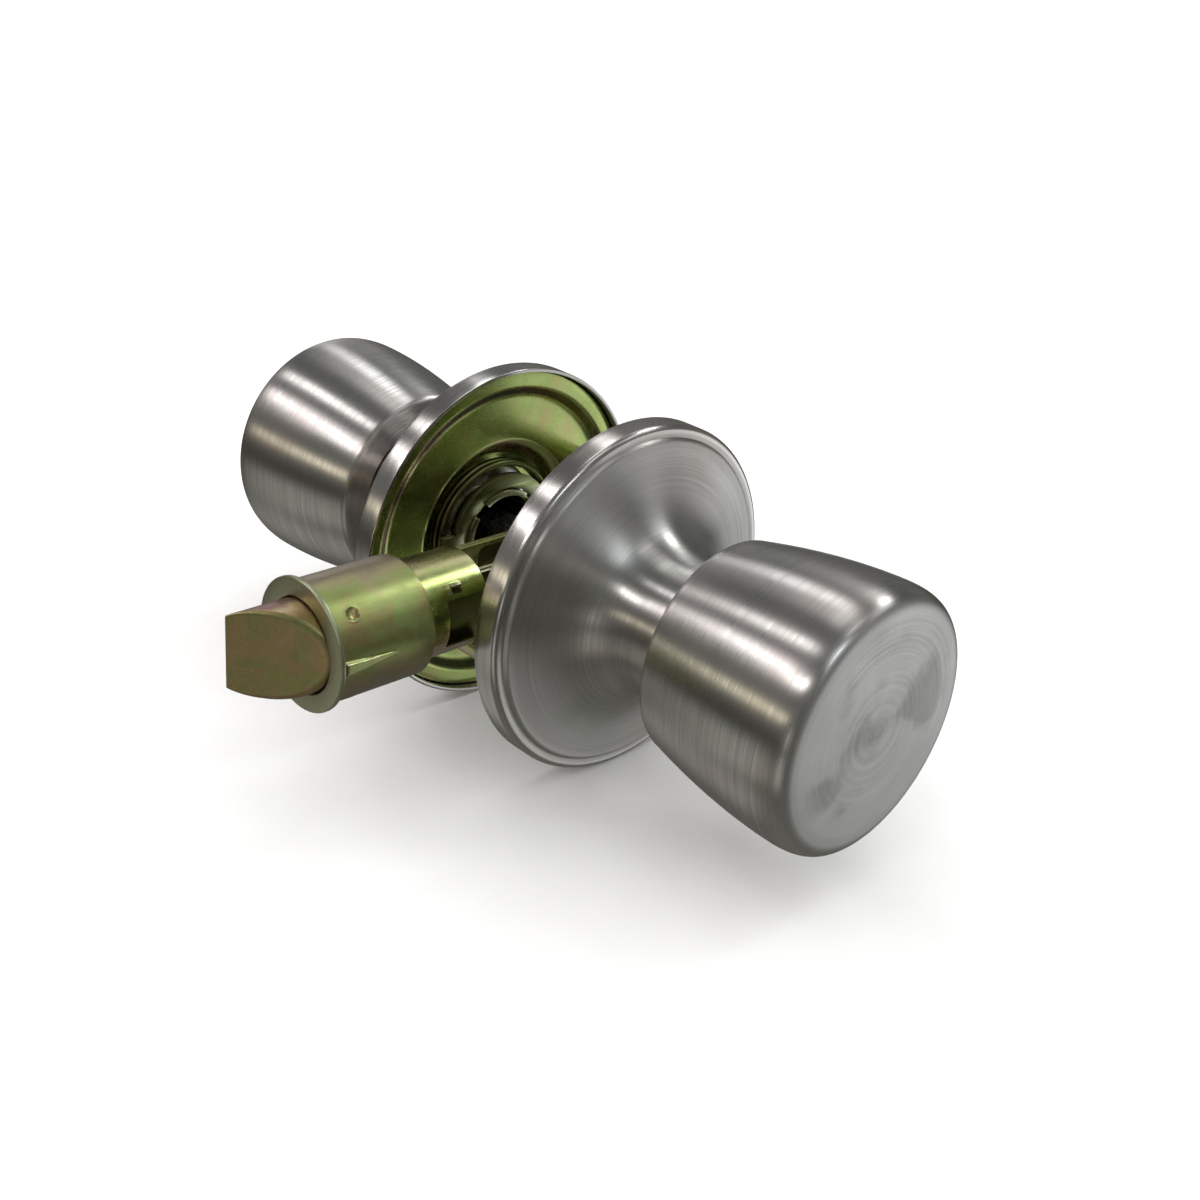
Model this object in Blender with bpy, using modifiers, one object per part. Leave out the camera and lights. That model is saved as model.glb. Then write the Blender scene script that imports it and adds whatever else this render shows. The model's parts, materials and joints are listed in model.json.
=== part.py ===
"""Tubular passage knob set with a drive-in spring latch.

Frame: the origin is the centre of the overall box, in the middle of the door and on the latch axis. +Z is up,
-X runs along the latch towards the door edge and the bolt, and the spindle lies along Y, SPINDLE_X behind the
origin. The near knob is on the -Y side and the far knob on the +Y side. Everything is at rest: the knobs are
level and the bolt is out.

Three empties carry the parts, all where the spindle axis crosses the latch axis. On a side axis, local Z is the
distance from the middle of the door out to that knob and local X is world X. On the latch axis, local Z is the
reach from the spindle out to the bolt, local X is up and local Y is world Y.
"""

import math

import bmesh
import bpy
from mathutils import Matrix

MM = 0.001

# Driving dimensions
DOOR_THICKNESS = 31.75 * MM
HALF_DOOR = DOOR_THICKNESS / 2
BACKSET = 60.3 * MM
BOLT_THROW = 11.5 * MM
ROSE_RADIUS = 35.2 * MM
KNOB_RADIUS = 25.2 * MM
KNOB_BACK_RADIUS = 21.0 * MM
KNOB_BACK = 43.2 * MM
KNOB_FACE = 78.7 * MM
NECK_RADIUS = 14.4 * MM
POST_X = 22.2 * MM
POST_Z = 10.35 * MM
GAP = 0.3 * MM

# Sheet thicknesses
ROSE_SHEET = 0.8 * MM
KNOB_SHEET = 0.8 * MM
PLATE_SHEET = 1.0 * MM

# Rose, as distances out from the door face
RIM_DEPTH = 5.2 * MM
RIM_FILLET = 1.0 * MM
NECK_END = 46.0 * MM

# Backplate, as distances out from the door face
PLATE_RADIUS = ROSE_RADIUS - ROSE_SHEET - GAP
PLATE_BAND = 1.8 * MM
PLATE_STEP_RADIUS = 29.4 * MM
PLATE_FIELD = 3.2 * MM
PLATE_FLOOR = 8.2 * MM
CUP_RADIUS = 17.8 * MM
CUP_FLOOR_RADIUS = 16.4 * MM

# Drive tube and what sits on it, as distances from the middle of the door
TUBE_RADIUS = 9.5 * MM
TUBE_BORE = 8.3 * MM
TUBE_START = 16.6 * MM
TUBE_END = 62.0 * MM
GROOVE_START = 21.6 * MM
GROOVE_END = 23.2 * MM
GROOVE_RADIUS = 8.9 * MM
RING_RADIUS = 12.8 * MM

# Spindle
SPINDLE_SIDE = 6.35 * MM
SPINDLE_END = 59.0 * MM
SOCKET_SIDE = SPINDLE_SIDE + 2 * GAP

# Latch, radii about the latch axis and reaches from the spindle
BOLT_RADIUS = 8.6 * MM
BOLT_FLAT = 5.0 * MM
BOLT_REAR = 52.3 * MM
BOLT_TIP = BOLT_REAR + 20.8 * MM
SPINDLE_X = (BOLT_TIP - ROSE_RADIUS) / 2
BOLT_BEVEL_RUN = 0.917
POCKET_END = 60.0 * MM
CASE_BORE = BOLT_RADIUS + GAP
CASE_RADIUS = CASE_BORE + 0.6 * MM
CASE_REAR = 26.0 * MM
CUTAWAY_FRONT = 35.5 * MM
CUTAWAY_HALF = 4.7 * MM
SLEEVE_RADIUS = 11.4 * MM
SLEEVE_SHEET = 0.8 * MM
SLEEVE_REAR = 40.4 * MM
COLLAR_RADIUS = 12.4 * MM
COLLAR_SHEET = 1.0 * MM
WEB_REAR = 39.5 * MM
WEB_FRONT = 40.5 * MM
FRAME_INNER = 5.0 * MM
FRAME_OUTER = 5.8 * MM
FRAME_HALF = 6.95 * MM
RETRACTOR_INNER = 4.0 * MM
RETRACTOR_OUTER = 4.7 * MM
POST_RADIUS = 3.0 * MM

# Hub: two arms lean forward at rest and pass the vertical at half travel
HUB_RADIUS = 5.8 * MM
HUB_HALF_LENGTH = 6.2 * MM
ARM_HALF_WIDTH = 3.4 * MM
ARM_REACH = 10.3 * MM
ARM_TIP_RADIUS = 1.0 * MM
ARM_LEAN = math.asin(BOLT_THROW / (2 * ARM_REACH))
ARM_ROOT_ANGLE = math.radians(172)
CLAW_FACE = ARM_REACH * math.sin(ARM_LEAN) - ARM_TIP_RADIUS - 0.25 * MM
CLAW_SHEET = 1.2 * MM

# Facets round a turn
LARGE_TURN = 30
SMALL_TURN = 20

MERGE = 0.00001


# ---------------------------------------------------------------- scene and materials


def clear_scene():
    for obj in list(bpy.data.objects):
        bpy.data.objects.remove(obj)


def new_collection(name):
    made = bpy.data.collections.new(name)
    bpy.context.scene.collection.children.link(made)
    return made


def new_material(name, colour, roughness, metallic):
    made = bpy.data.materials.new(name)
    made.use_nodes = True
    shader = made.node_tree.nodes["Principled BSDF"]
    shader.inputs["Base Color"].default_value = (*colour, 1.0)
    shader.inputs["Roughness"].default_value = roughness
    shader.inputs["Metallic"].default_value = metallic
    return made


def new_axis(name, degrees, about):
    made = bpy.data.objects.new(name, None)
    turn = Matrix.Rotation(math.radians(degrees), 4, about)
    made.matrix_world = Matrix.Translation((SPINDLE_X, 0, 0)) @ turn
    PARTS.objects.link(made)
    return made


clear_scene()
PARTS = new_collection("passage_knob_set")
CUTTERS = new_collection("cutters")

STAINLESS = new_material("brushed_stainless", (0.52, 0.50, 0.48), 0.32, 1.0)
CHROMATE = new_material("yellow_chromate_steel", (0.50, 0.46, 0.22), 0.35, 1.0)
BRIGHT_STEEL = new_material("bright_zinc_steel", (0.62, 0.62, 0.60), 0.30, 1.0)
NYLON = new_material("nylon", (0.80, 0.79, 0.74), 0.50, 0.0)

NEAR = new_axis("near_axis", 90, "X")
FAR = new_axis("far_axis", -90, "X")
LATCH = new_axis("latch_axis", -90, "Y")


# ---------------------------------------------------------------- modelling helpers


def place(name, mesh, parent, material):
    """A part object on its axis empty."""
    made = bpy.data.objects.new(name, mesh)
    made.data.materials.clear()
    made.data.materials.append(material)
    made.parent = parent
    PARTS.objects.link(made)
    return made


def place_cutter(name, mesh, parent):
    made = bpy.data.objects.new(name, mesh)
    made.parent = parent
    made.hide_render = True
    made.display_type = "WIRE"
    CUTTERS.objects.link(made)
    return made


def profile_mesh(name, points, closed):
    """Profile points (radius, height) as a wire in the XZ plane."""
    mesh = bpy.data.meshes.new(name)
    edges = [(i, i + 1) for i in range(len(points) - 1)]
    if closed:
        edges.append((len(points) - 1, 0))
    mesh.from_pydata([(radius, 0.0, height) for radius, height in points], edges, [])
    return mesh


def turned(name, points, parent, material, steps=SMALL_TURN, closed=True):
    """A solid of revolution. The profile runs down its outer side and back up its inner side."""
    made = place(name, profile_mesh(name, points, closed), parent, material)
    screw = made.modifiers.new("Screw", "SCREW")
    screw.steps = steps
    screw.render_steps = steps
    screw.use_merge_vertices = True
    screw.merge_threshold = MERGE
    screw.use_smooth_shade = True
    return made


def turned_shell(name, points, parent, material, sheet):
    """Spun sheet metal: an open profile whose thickness goes to the inside."""
    made = turned(name, points, parent, material, LARGE_TURN, closed=False)
    wall = made.modifiers.new("Solidify", "SOLIDIFY")
    wall.thickness = sheet
    wall.offset = -1.0
    wall.use_even_offset = True
    return made


def ring_profile(inner, outer, start, end):
    return [(outer, end), (outer, start), (inner, start), (inner, end)]


def box_mesh(name, low, high):
    mesh = bpy.data.meshes.new(name)
    form = bmesh.new()
    bmesh.ops.create_cube(form, size=1.0)
    size = [b - a for a, b in zip(low, high)]
    centre = [(a + b) / 2 for a, b in zip(low, high)]
    bmesh.ops.transform(
        form, matrix=Matrix.Translation(centre) @ Matrix.Diagonal((*size, 1.0)), verts=form.verts
    )
    form.to_mesh(mesh)
    form.free()
    return mesh


def rod_mesh(name, radius, start, end, segments=SMALL_TURN, matrix=None):
    """A capped cylinder along local Z from start to end, then moved by matrix."""
    mesh = bpy.data.meshes.new(name)
    form = bmesh.new()
    bmesh.ops.create_cone(
        form, cap_ends=True, segments=segments, radius1=radius, radius2=radius, depth=end - start
    )
    move = Matrix.Translation((0, 0, (start + end) / 2))
    bmesh.ops.transform(form, matrix=(matrix or Matrix()) @ move, verts=form.verts)
    form.to_mesh(mesh)
    form.free()
    return mesh


def plate_mesh(name, outlines, low, high, matrix=None):
    """A flat plate between two heights from closed 2D outlines; an outline inside another is a hole."""
    curve = bpy.data.curves.new(name + "_outline", "CURVE")
    curve.dimensions = "2D"
    curve.fill_mode = "BOTH"
    curve.extrude = (high - low) / 2
    for outline in outlines:
        spline = curve.splines.new("POLY")
        spline.points.add(len(outline) - 1)
        for point, (x, y) in zip(spline.points, outline):
            point.co = (x, y, 0.0, 1.0)
        spline.use_cyclic_u = True
    guide = bpy.data.objects.new(name + "_guide", curve)
    CUTTERS.objects.link(guide)
    bpy.context.view_layer.update()
    graph = bpy.context.evaluated_depsgraph_get()
    mesh = bpy.data.meshes.new_from_object(guide.evaluated_get(graph))
    bpy.data.objects.remove(guide)
    form = bmesh.new()
    form.from_mesh(mesh)
    bmesh.ops.remove_doubles(form, verts=form.verts, dist=MERGE)
    move = Matrix.Translation((0, 0, (low + high) / 2))
    bmesh.ops.transform(form, matrix=(matrix or Matrix()) @ move, verts=form.verts)
    bmesh.ops.recalc_face_normals(form, faces=form.faces)
    form.to_mesh(mesh)
    form.free()
    return mesh


def combine(obj, operation, name, mesh):
    """Cuts from or joins to obj a helper mesh given in obj's own axes."""
    helper = place_cutter(obj.name + "_" + name, mesh, obj.parent)
    step = obj.modifiers.new(name, "BOOLEAN")
    step.operation = operation
    step.object = helper
    step.solver = "EXACT"


def arc(centre, radius, start, end, count):
    """Points on an arc, angles in degrees, both ends included."""
    turn = [math.radians(start + (end - start) * i / (count - 1)) for i in range(count)]
    return [(centre[0] + radius * math.cos(a), centre[1] + radius * math.sin(a)) for a in turn]


def circle(centre, radius, count=SMALL_TURN):
    return arc(centre, radius, 0, 360 * (count - 1) / count, count)


def square(side):
    half = side / 2
    return [(half, half), (-half, half), (-half, -half), (half, -half)]


def bezier(points, count):
    """Points on a cubic curve, both ends included."""
    made = []
    for i in range(count):
        t = i / (count - 1)
        weights = ((1 - t) ** 3, 3 * (1 - t) ** 2 * t, 3 * (1 - t) * t**2, t**3)
        made.append(tuple(sum(w * p[k] for w, p in zip(weights, points)) for k in range(2)))
    return made


def wire(name, points, radius, parent, material):
    """A round wire along a polyline."""
    curve = bpy.data.curves.new(name, "CURVE")
    curve.dimensions = "3D"
    curve.bevel_depth = radius
    curve.bevel_resolution = 1
    curve.use_fill_caps = True
    curve.materials.append(material)
    spline = curve.splines.new("POLY")
    spline.points.add(len(points) - 1)
    for point, place_at in zip(spline.points, points):
        point.co = (*place_at, 1.0)
    made = bpy.data.objects.new(name, curve)
    made.parent = parent
    PARTS.objects.link(made)
    return made


# ---------------------------------------------------------------- one side: rose, plate and knob


def rose_profile():
    """Outer surface from the neck's end, down the trumpet, over a small bead and down the rim."""
    face = HALF_DOOR + RIM_DEPTH
    trumpet = [
        (NECK_RADIUS, HALF_DOOR + 20.0 * MM),
        (NECK_RADIUS, HALF_DOOR + 11.0 * MM),
        (20.0 * MM, HALF_DOOR + 8.0 * MM),
        (32.4 * MM, face + 0.7 * MM),
    ]
    points = [(NECK_RADIUS, NECK_END)]
    points += bezier(trumpet, 8)
    points += [(32.9 * MM, face + 0.1 * MM)]
    points += arc((ROSE_RADIUS - RIM_FILLET, face - RIM_FILLET), RIM_FILLET, 90, 0, 3)
    points += [(ROSE_RADIUS, HALF_DOOR)]
    return points


def knob_profile():
    """Outer surface of the tulip from the middle of its face, down the side to the turned-in back lip."""
    widest = 73.0 * MM
    lip_radius = NECK_RADIUS + 2 * GAP
    crown = [(0.0, KNOB_FACE + 0.3 * MM), (12.0 * MM, KNOB_FACE + 0.25 * MM), (22.4 * MM, KNOB_FACE)]
    corner = [(23.7 * MM, KNOB_FACE - 0.8 * MM), (24.9 * MM, KNOB_FACE - 3.1 * MM)]
    side = []
    for i in range(6):
        height = widest + (KNOB_BACK + 0.8 * MM - widest) * i / 5
        taper = ((widest - height) / (widest - KNOB_BACK)) ** 1.8
        side.append((KNOB_RADIUS - (KNOB_RADIUS - KNOB_BACK_RADIUS) * taper, height))
    lip = [(KNOB_BACK_RADIUS - 0.9 * MM, KNOB_BACK), (lip_radius, KNOB_BACK)]
    return crown + corner + side + lip


def backplate_profile():
    """Door-side surface of the stamped plate, from its edge in to the hole for the drive tube."""
    return [
        (PLATE_RADIUS, HALF_DOOR + PLATE_BAND),
        (PLATE_STEP_RADIUS + 0.8 * MM, HALF_DOOR + PLATE_BAND),
        (PLATE_STEP_RADIUS, HALF_DOOR + PLATE_FIELD),
        (CUP_RADIUS + 0.6 * MM, HALF_DOOR + PLATE_FIELD),
        (CUP_RADIUS, HALF_DOOR + PLATE_FIELD + 0.8 * MM),
        (CUP_FLOOR_RADIUS + 0.2 * MM, HALF_DOOR + PLATE_FLOOR - 0.9 * MM),
        (CUP_FLOOR_RADIUS - 0.9 * MM, HALF_DOOR + PLATE_FLOOR),
        (TUBE_RADIUS + GAP, HALF_DOOR + PLATE_FLOOR),
    ]


def make_backplate(prefix, axis, up):
    plate = turned_shell(prefix + "_backplate", backplate_profile(), axis, CHROMATE, PLATE_SHEET)
    for label, side in (("front_hole", -1), ("rear_hole", 1)):
        move = Matrix.Translation((side * POST_X, side * up * POST_Z, 0))
        hole = rod_mesh(label, 2.4 * MM, HALF_DOOR, HALF_DOOR + PLATE_FLOOR, 12, move)
        combine(plate, "DIFFERENCE", label, hole)


def make_return_spring(prefix, axis, up):
    """Torsion spring in the plate's cup; one leg stands by a driver ear, the other by the cup's floor."""
    coil_radius = 14.4 * MM
    wire_radius = 0.7 * MM
    start, end, turns, per_turn = 19.3 * MM, 22.4 * MM, 2, 14
    lead = math.radians(20)
    points = []
    for i in range(turns * per_turn + 1):
        angle = up * (lead + 2 * math.pi * i / per_turn)
        height = start + (end - start) * i / (turns * per_turn)
        points.append((coil_radius * math.cos(angle), coil_radius * math.sin(angle), height))
    leg = (*points[0][:2], start - 2.2 * MM)
    tail = (*points[-1][:2], end + 1.1 * MM)
    wire(prefix + "_return_spring", [leg] + points + [tail], wire_radius, axis, BRIGHT_STEEL)


def make_spring_driver(prefix, axis):
    """Ring on the tube's end with two ears that wind the return spring."""
    start, end = 17.2 * MM, 18.4 * MM
    root = math.asin(2.2 * MM / RING_RADIUS)
    ear = 15.6 * MM
    half = 2.2 * MM
    right = math.degrees(root)
    outline = [(ear, -half), (ear, half)] + arc((0, 0), RING_RADIUS, right, 180 - right, 9)
    outline += [(-ear, half), (-ear, -half)] + arc((0, 0), RING_RADIUS, 180 + right, 360 - right, 9)
    mesh = plate_mesh(prefix, [outline, circle((0, 0), TUBE_RADIUS + GAP)], start, end)
    place(prefix + "_spring_driver", mesh, axis, CHROMATE)


def make_retaining_ring(prefix, axis):
    """Open snap ring in the drive tube's groove."""
    start, end = 21.9 * MM, 22.9 * MM
    inner = GROOVE_RADIUS + 0.25 * MM
    outline = arc((0, 0), RING_RADIUS, 25, 335, 17) + arc((0, 0), inner, 332, 28, 17)
    place(prefix + "_retaining_ring", plate_mesh(prefix, [outline], start, end), axis, BRIGHT_STEEL)


def make_knob_core(prefix, axis):
    """Pressed cup that closes the knob behind its back lip and grips the drive tube."""
    back, front = 47.5 * MM, 48.7 * MM
    rim, hub = 20.6 * MM, 11.5 * MM
    bore = TUBE_RADIUS + GAP
    profile = [
        (rim, 52.0 * MM),
        (rim, back),
        (bore, back),
        (bore, 60.0 * MM),
        (hub, 60.0 * MM),
        (hub, front),
        (rim - 0.9 * MM, front),
        (rim - 0.9 * MM, 52.0 * MM),
    ]
    turned(prefix + "_knob_core", profile, axis, CHROMATE)


def make_drive_tube(prefix, axis):
    profile = [
        (TUBE_RADIUS, TUBE_END),
        (TUBE_RADIUS, GROOVE_END),
        (GROOVE_RADIUS, GROOVE_END),
        (GROOVE_RADIUS, GROOVE_START),
        (TUBE_RADIUS, GROOVE_START),
        (TUBE_RADIUS, TUBE_START),
        (TUBE_BORE, TUBE_START),
        (TUBE_BORE, TUBE_END),
    ]
    turned(prefix + "_drive_tube", profile, axis, CHROMATE)


def make_side(prefix, axis, up):
    turned_shell(prefix + "_rose", rose_profile(), axis, STAINLESS, ROSE_SHEET)
    turned_shell(prefix + "_knob_shell", knob_profile(), axis, STAINLESS, KNOB_SHEET)
    make_backplate(prefix, axis, up)
    make_return_spring(prefix, axis, up)
    make_spring_driver(prefix, axis)
    make_retaining_ring(prefix, axis)
    make_knob_core(prefix, axis)
    make_drive_tube(prefix, axis)
    bore = TUBE_RADIUS + GAP
    washer = ring_profile(bore, RING_RADIUS, 23.2 * MM, 23.8 * MM)
    turned(prefix + "_thrust_washer", washer, axis, BRIGHT_STEEL)
    bush = ring_profile(bore, NECK_RADIUS - ROSE_SHEET - GAP, 34.0 * MM, 45.5 * MM)
    turned(prefix + "_neck_bush", bush, axis, NYLON)
    socket = [circle((0, 0), TUBE_BORE - GAP), square(SOCKET_SIDE)]
    place(
        prefix + "_spindle_socket",
        plate_mesh(prefix, socket, 50.0 * MM, 60.0 * MM),
        axis,
        BRIGHT_STEEL,
    )


# ---------------------------------------------------------------- fasteners through the door


def make_screw(name, x, y):
    """Pan-head machine screw, hidden under the near rose, that draws the two plates together."""
    seat = HALF_DOOR + PLATE_FIELD + PLATE_SHEET + GAP
    head, shank, top = 3.2 * MM, 2.0 * MM, seat + 1.9 * MM
    profile = [(0.0, top), (head * 0.6, top - 0.2 * MM), (head, seat + 0.8 * MM), (head, seat)]
    profile += [(shank, seat), (shank, 0.4 * MM), (shank - 0.4 * MM, 0.0), (0.0, 0.0)]
    screw = turned(name, profile, NEAR, BRIGHT_STEEL, 12, closed=False)
    screw.location = (x, y, 0)
    for label, long_side, short_side in (("slot_x", 2.0, 0.35), ("slot_y", 0.35, 2.0)):
        low = (x - long_side * MM, y - short_side * MM, top - 0.9 * MM)
        high = (x + long_side * MM, y + short_side * MM, top + 1.0 * MM)
        combine(screw, "DIFFERENCE", label, box_mesh(label, low, high))


def make_post(name, x, y):
    """Tapped post riveted to the far backplate; the screw enters its open end."""
    near_end = -9.0 * MM
    shoulder = HALF_DOOR + PLATE_FIELD - GAP
    rivet = HALF_DOOR + PLATE_FIELD + PLATE_SHEET + GAP
    tenon, rivet_radius, bore, bore_end = 2.1 * MM, 3.2 * MM, 2.3 * MM, 4.0 * MM
    profile = [
        (0.0, rivet + 0.8 * MM),
        (rivet_radius, rivet + 0.8 * MM),
        (rivet_radius, rivet),
        (tenon, rivet),
        (tenon, shoulder),
        (POST_RADIUS, shoulder),
        (POST_RADIUS, near_end),
        (bore, near_end),
        (bore, bore_end),
        (0.0, bore_end),
    ]
    post = turned(name, profile, FAR, CHROMATE, 16, closed=False)
    post.location = (x, y, 0)


def make_spindle():
    half = SPINDLE_SIDE / 2
    low, high = (-half, -half, -SPINDLE_END), (half, half, SPINDLE_END)
    spindle = place("spindle", box_mesh("spindle", low, high), NEAR, BRIGHT_STEEL)
    chamfer = spindle.modifiers.new("Bevel", "BEVEL")
    chamfer.width = 0.4 * MM
    chamfer.segments = 1


# ---------------------------------------------------------------- latch


# Turns a plate drawn in (reach, up) into the latch axes, with its thickness along local Y.
ON_EDGE = Matrix(((0, 1, 0, 0), (0, 0, 1, 0), (1, 0, 0, 0), (0, 0, 0, 1)))


def make_collar():
    """Flange that stops against the door edge, recessed for the sleeve's end, with a spigot inside it."""
    face = BACKSET + COLLAR_SHEET
    spigot = SLEEVE_RADIUS - SLEEVE_SHEET - GAP
    profile = [
        (COLLAR_RADIUS, face),
        (COLLAR_RADIUS, BACKSET),
        (SLEEVE_RADIUS + 0.2 * MM, BACKSET),
        (SLEEVE_RADIUS + 0.2 * MM, BACKSET + GAP),
        (spigot, BACKSET + GAP),
        (spigot, BACKSET - 4.0 * MM),
        (CASE_RADIUS + GAP, BACKSET - 4.0 * MM),
        (CASE_RADIUS + GAP, BACKSET),
        (CASE_BORE, BACKSET),
        (CASE_BORE, face),
    ]
    turned("latch_collar", profile, LATCH, CHROMATE, LARGE_TURN)


def make_sleeve():
    """Rolled outer sleeve with wedge ribs at both sides and staking dimples."""
    inner = SLEEVE_RADIUS - SLEEVE_SHEET
    profile = ring_profile(inner, SLEEVE_RADIUS, SLEEVE_REAR, BACKSET)
    sleeve = turned("latch_sleeve", profile, LATCH, CHROMATE, LARGE_TURN)
    rib_root = inner + 0.3 * MM
    rib_front = BACKSET - 0.5 * MM
    rib_top = SLEEVE_RADIUS + 0.8 * MM
    wedge = [(rib_front, rib_root), (rib_front, rib_top), (rib_front - 12.0 * MM, rib_root)]
    for label, side in (("near_rib", -1), ("far_rib", 1)):
        tilt = Matrix(((0, 0, 1, 0), (0, side, 0, 0), (1, 0, 0, 0), (0, 0, 0, 1)))
        combine(sleeve, "UNION", label, plate_mesh(label, [wedge], -1.3 * MM, 1.3 * MM, tilt))
    dent, depth = 1.8 * MM, 0.45 * MM
    for i in range(4):
        angle = math.radians(45 + 90 * i)
        centre = SLEEVE_RADIUS + dent - depth
        move = Matrix.Translation((centre * math.cos(angle), centre * math.sin(angle), 55.5 * MM))
        mesh = bpy.data.meshes.new("dent")
        form = bmesh.new()
        bmesh.ops.create_uvsphere(form, u_segments=10, v_segments=6, radius=dent, matrix=move)
        form.to_mesh(mesh)
        form.free()
        combine(sleeve, "DIFFERENCE", f"dent_{i}", mesh)


def make_case():
    """Inner barrel that guides the bolt and holds the frame, cut away at both sides of its rear end."""
    profile = ring_profile(CASE_BORE, CASE_RADIUS, CASE_REAR, BACKSET - GAP)
    case = turned("latch_case", profile, LATCH, CHROMATE, LARGE_TURN)
    low = (-CUTAWAY_HALF, -2 * CASE_RADIUS, CASE_REAR - 1 * MM)
    high = (CUTAWAY_HALF, 2 * CASE_RADIUS, CUTAWAY_FRONT)
    combine(case, "DIFFERENCE", "cutaway", box_mesh("cutaway", low, high))


def frame_outlines():
    """Frame side in (reach, up): neck in the barrel, fork notched for the post, hub lobe and tongue."""
    barrel_half = 6.3 * MM
    lobe = 9.6 * MM
    tongue = (-12.5 * MM, 0.0)
    lobe_start = math.degrees(math.asin(FRAME_HALF / lobe))
    fork_front = CASE_REAR - GAP
    back = arc((0, 0), lobe, lobe_start, 150, 7) + arc(tongue, 4.0 * MM, 110, 170, 3)
    outer = [(WEB_FRONT, barrel_half), (fork_front, barrel_half), (fork_front, FRAME_HALF)] + back
    outer += [(x, -y) for x, y in reversed(back)]
    outer += [(17.0 * MM, -FRAME_HALF), (18.6 * MM, -barrel_half), (WEB_FRONT, -barrel_half)]
    bearing = circle((0, 0), HUB_RADIUS + GAP)
    rivet_hole = circle(tongue, 1.9 * MM, 10)
    return [outer, bearing, rivet_hole]


def make_frame():
    """Bent strap: its web is the spring seat and its two sides carry the hub."""
    half, web_half = FRAME_OUTER - 0.2 * MM, 6.0 * MM
    corners = [(web_half, half), (-web_half, half), (-web_half, -half), (web_half, -half)]
    web = plate_mesh("web", [corners, circle((0, 0), 2.5 * MM, 12)], WEB_REAR, WEB_FRONT - 0.1 * MM)
    frame = place("latch_frame", web, LATCH, CHROMATE)
    for label, low, high in (
        ("near_side", -FRAME_OUTER, -FRAME_INNER),
        ("far_side", FRAME_INNER, FRAME_OUTER),
    ):
        combine(frame, "UNION", label, plate_mesh(label, frame_outlines(), low, high, ON_EDGE))


def make_frame_rivet():
    """Rear rivet and the tube spacer that hold the frame's two sides apart."""
    across = Matrix.Translation((0, 0, -12.5 * MM)) @ Matrix.Rotation(math.radians(-90), 4, "X")
    head = FRAME_OUTER + GAP
    profile = [(0.0, head + 0.8 * MM), (2.6 * MM, head + 0.8 * MM), (2.6 * MM, head), (1.6 * MM, head)]
    profile += [(radius, -height) for radius, height in reversed(profile)]
    rivet = turned("latch_frame_rivet", profile, LATCH, BRIGHT_STEEL, 12, closed=False)
    rivet.matrix_local = across
    half = FRAME_INNER - GAP
    tube = ring_profile(1.9 * MM, 3.0 * MM, -half, half)
    spacer = turned("latch_frame_spacer", tube, LATCH, BRIGHT_STEEL, 12)
    spacer.matrix_local = across


def make_bolt():
    """Round bolt with a bevelled nose, a flat on its locking side and a spring pocket in its rear."""
    bolt = place("latch_bolt", rod_mesh("bolt", BOLT_RADIUS, BOLT_REAR, BOLT_TIP, 32), LATCH, CHROMATE)
    wide = 2 * BOLT_RADIUS
    nose_start = BACKSET + COLLAR_SHEET - 0.6 * MM
    flat = box_mesh("flat", (-wide, BOLT_FLAT, nose_start), (wide, wide, BOLT_TIP + wide))
    combine(bolt, "DIFFERENCE", "locking_flat", flat)
    base = BOLT_TIP - (BOLT_FLAT + wide) * BOLT_BEVEL_RUN
    beyond = BOLT_FLAT + BOLT_RADIUS
    wedge = [(BOLT_TIP, BOLT_FLAT), (base, -wide), (BOLT_TIP + wide, -wide), (BOLT_TIP + wide, beyond)]
    wedge.append((BOLT_TIP + beyond - BOLT_FLAT, beyond))
    across = Matrix(((0, 0, 1, 0), (0, 1, 0, 0), (1, 0, 0, 0), (0, 0, 0, 1)))
    combine(bolt, "DIFFERENCE", "bevel", plate_mesh("bevel", [wedge], -wide, wide, across))
    pocket = rod_mesh("pocket", 4.8 * MM, BOLT_REAR - 5 * MM, POCKET_END, 16)
    combine(bolt, "DIFFERENCE", "pocket", pocket)
    rod_hole = rod_mesh("rod_hole", 2.5 * MM, POCKET_END - 1.0 * MM, 65.8 * MM, 12)
    combine(bolt, "DIFFERENCE", "rod_hole", rod_hole)


def make_tail_rod():
    """Rod from the bolt through the spring and the frame's web, headed over behind the retractor."""
    neck, head = 1.5 * MM, 2.6 * MM
    profile = [
        (0.0, 65.5 * MM),
        (2.2 * MM, 65.5 * MM),
        (2.2 * MM, 39.5 * MM),
        (neck, 39.5 * MM),
        (neck, 37.9 * MM),
        (head, 37.9 * MM),
        (head, 37.1 * MM),
        (0.0, 37.1 * MM),
    ]
    turned("latch_tail_rod", profile, LATCH, CHROMATE, 12, closed=False)


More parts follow.
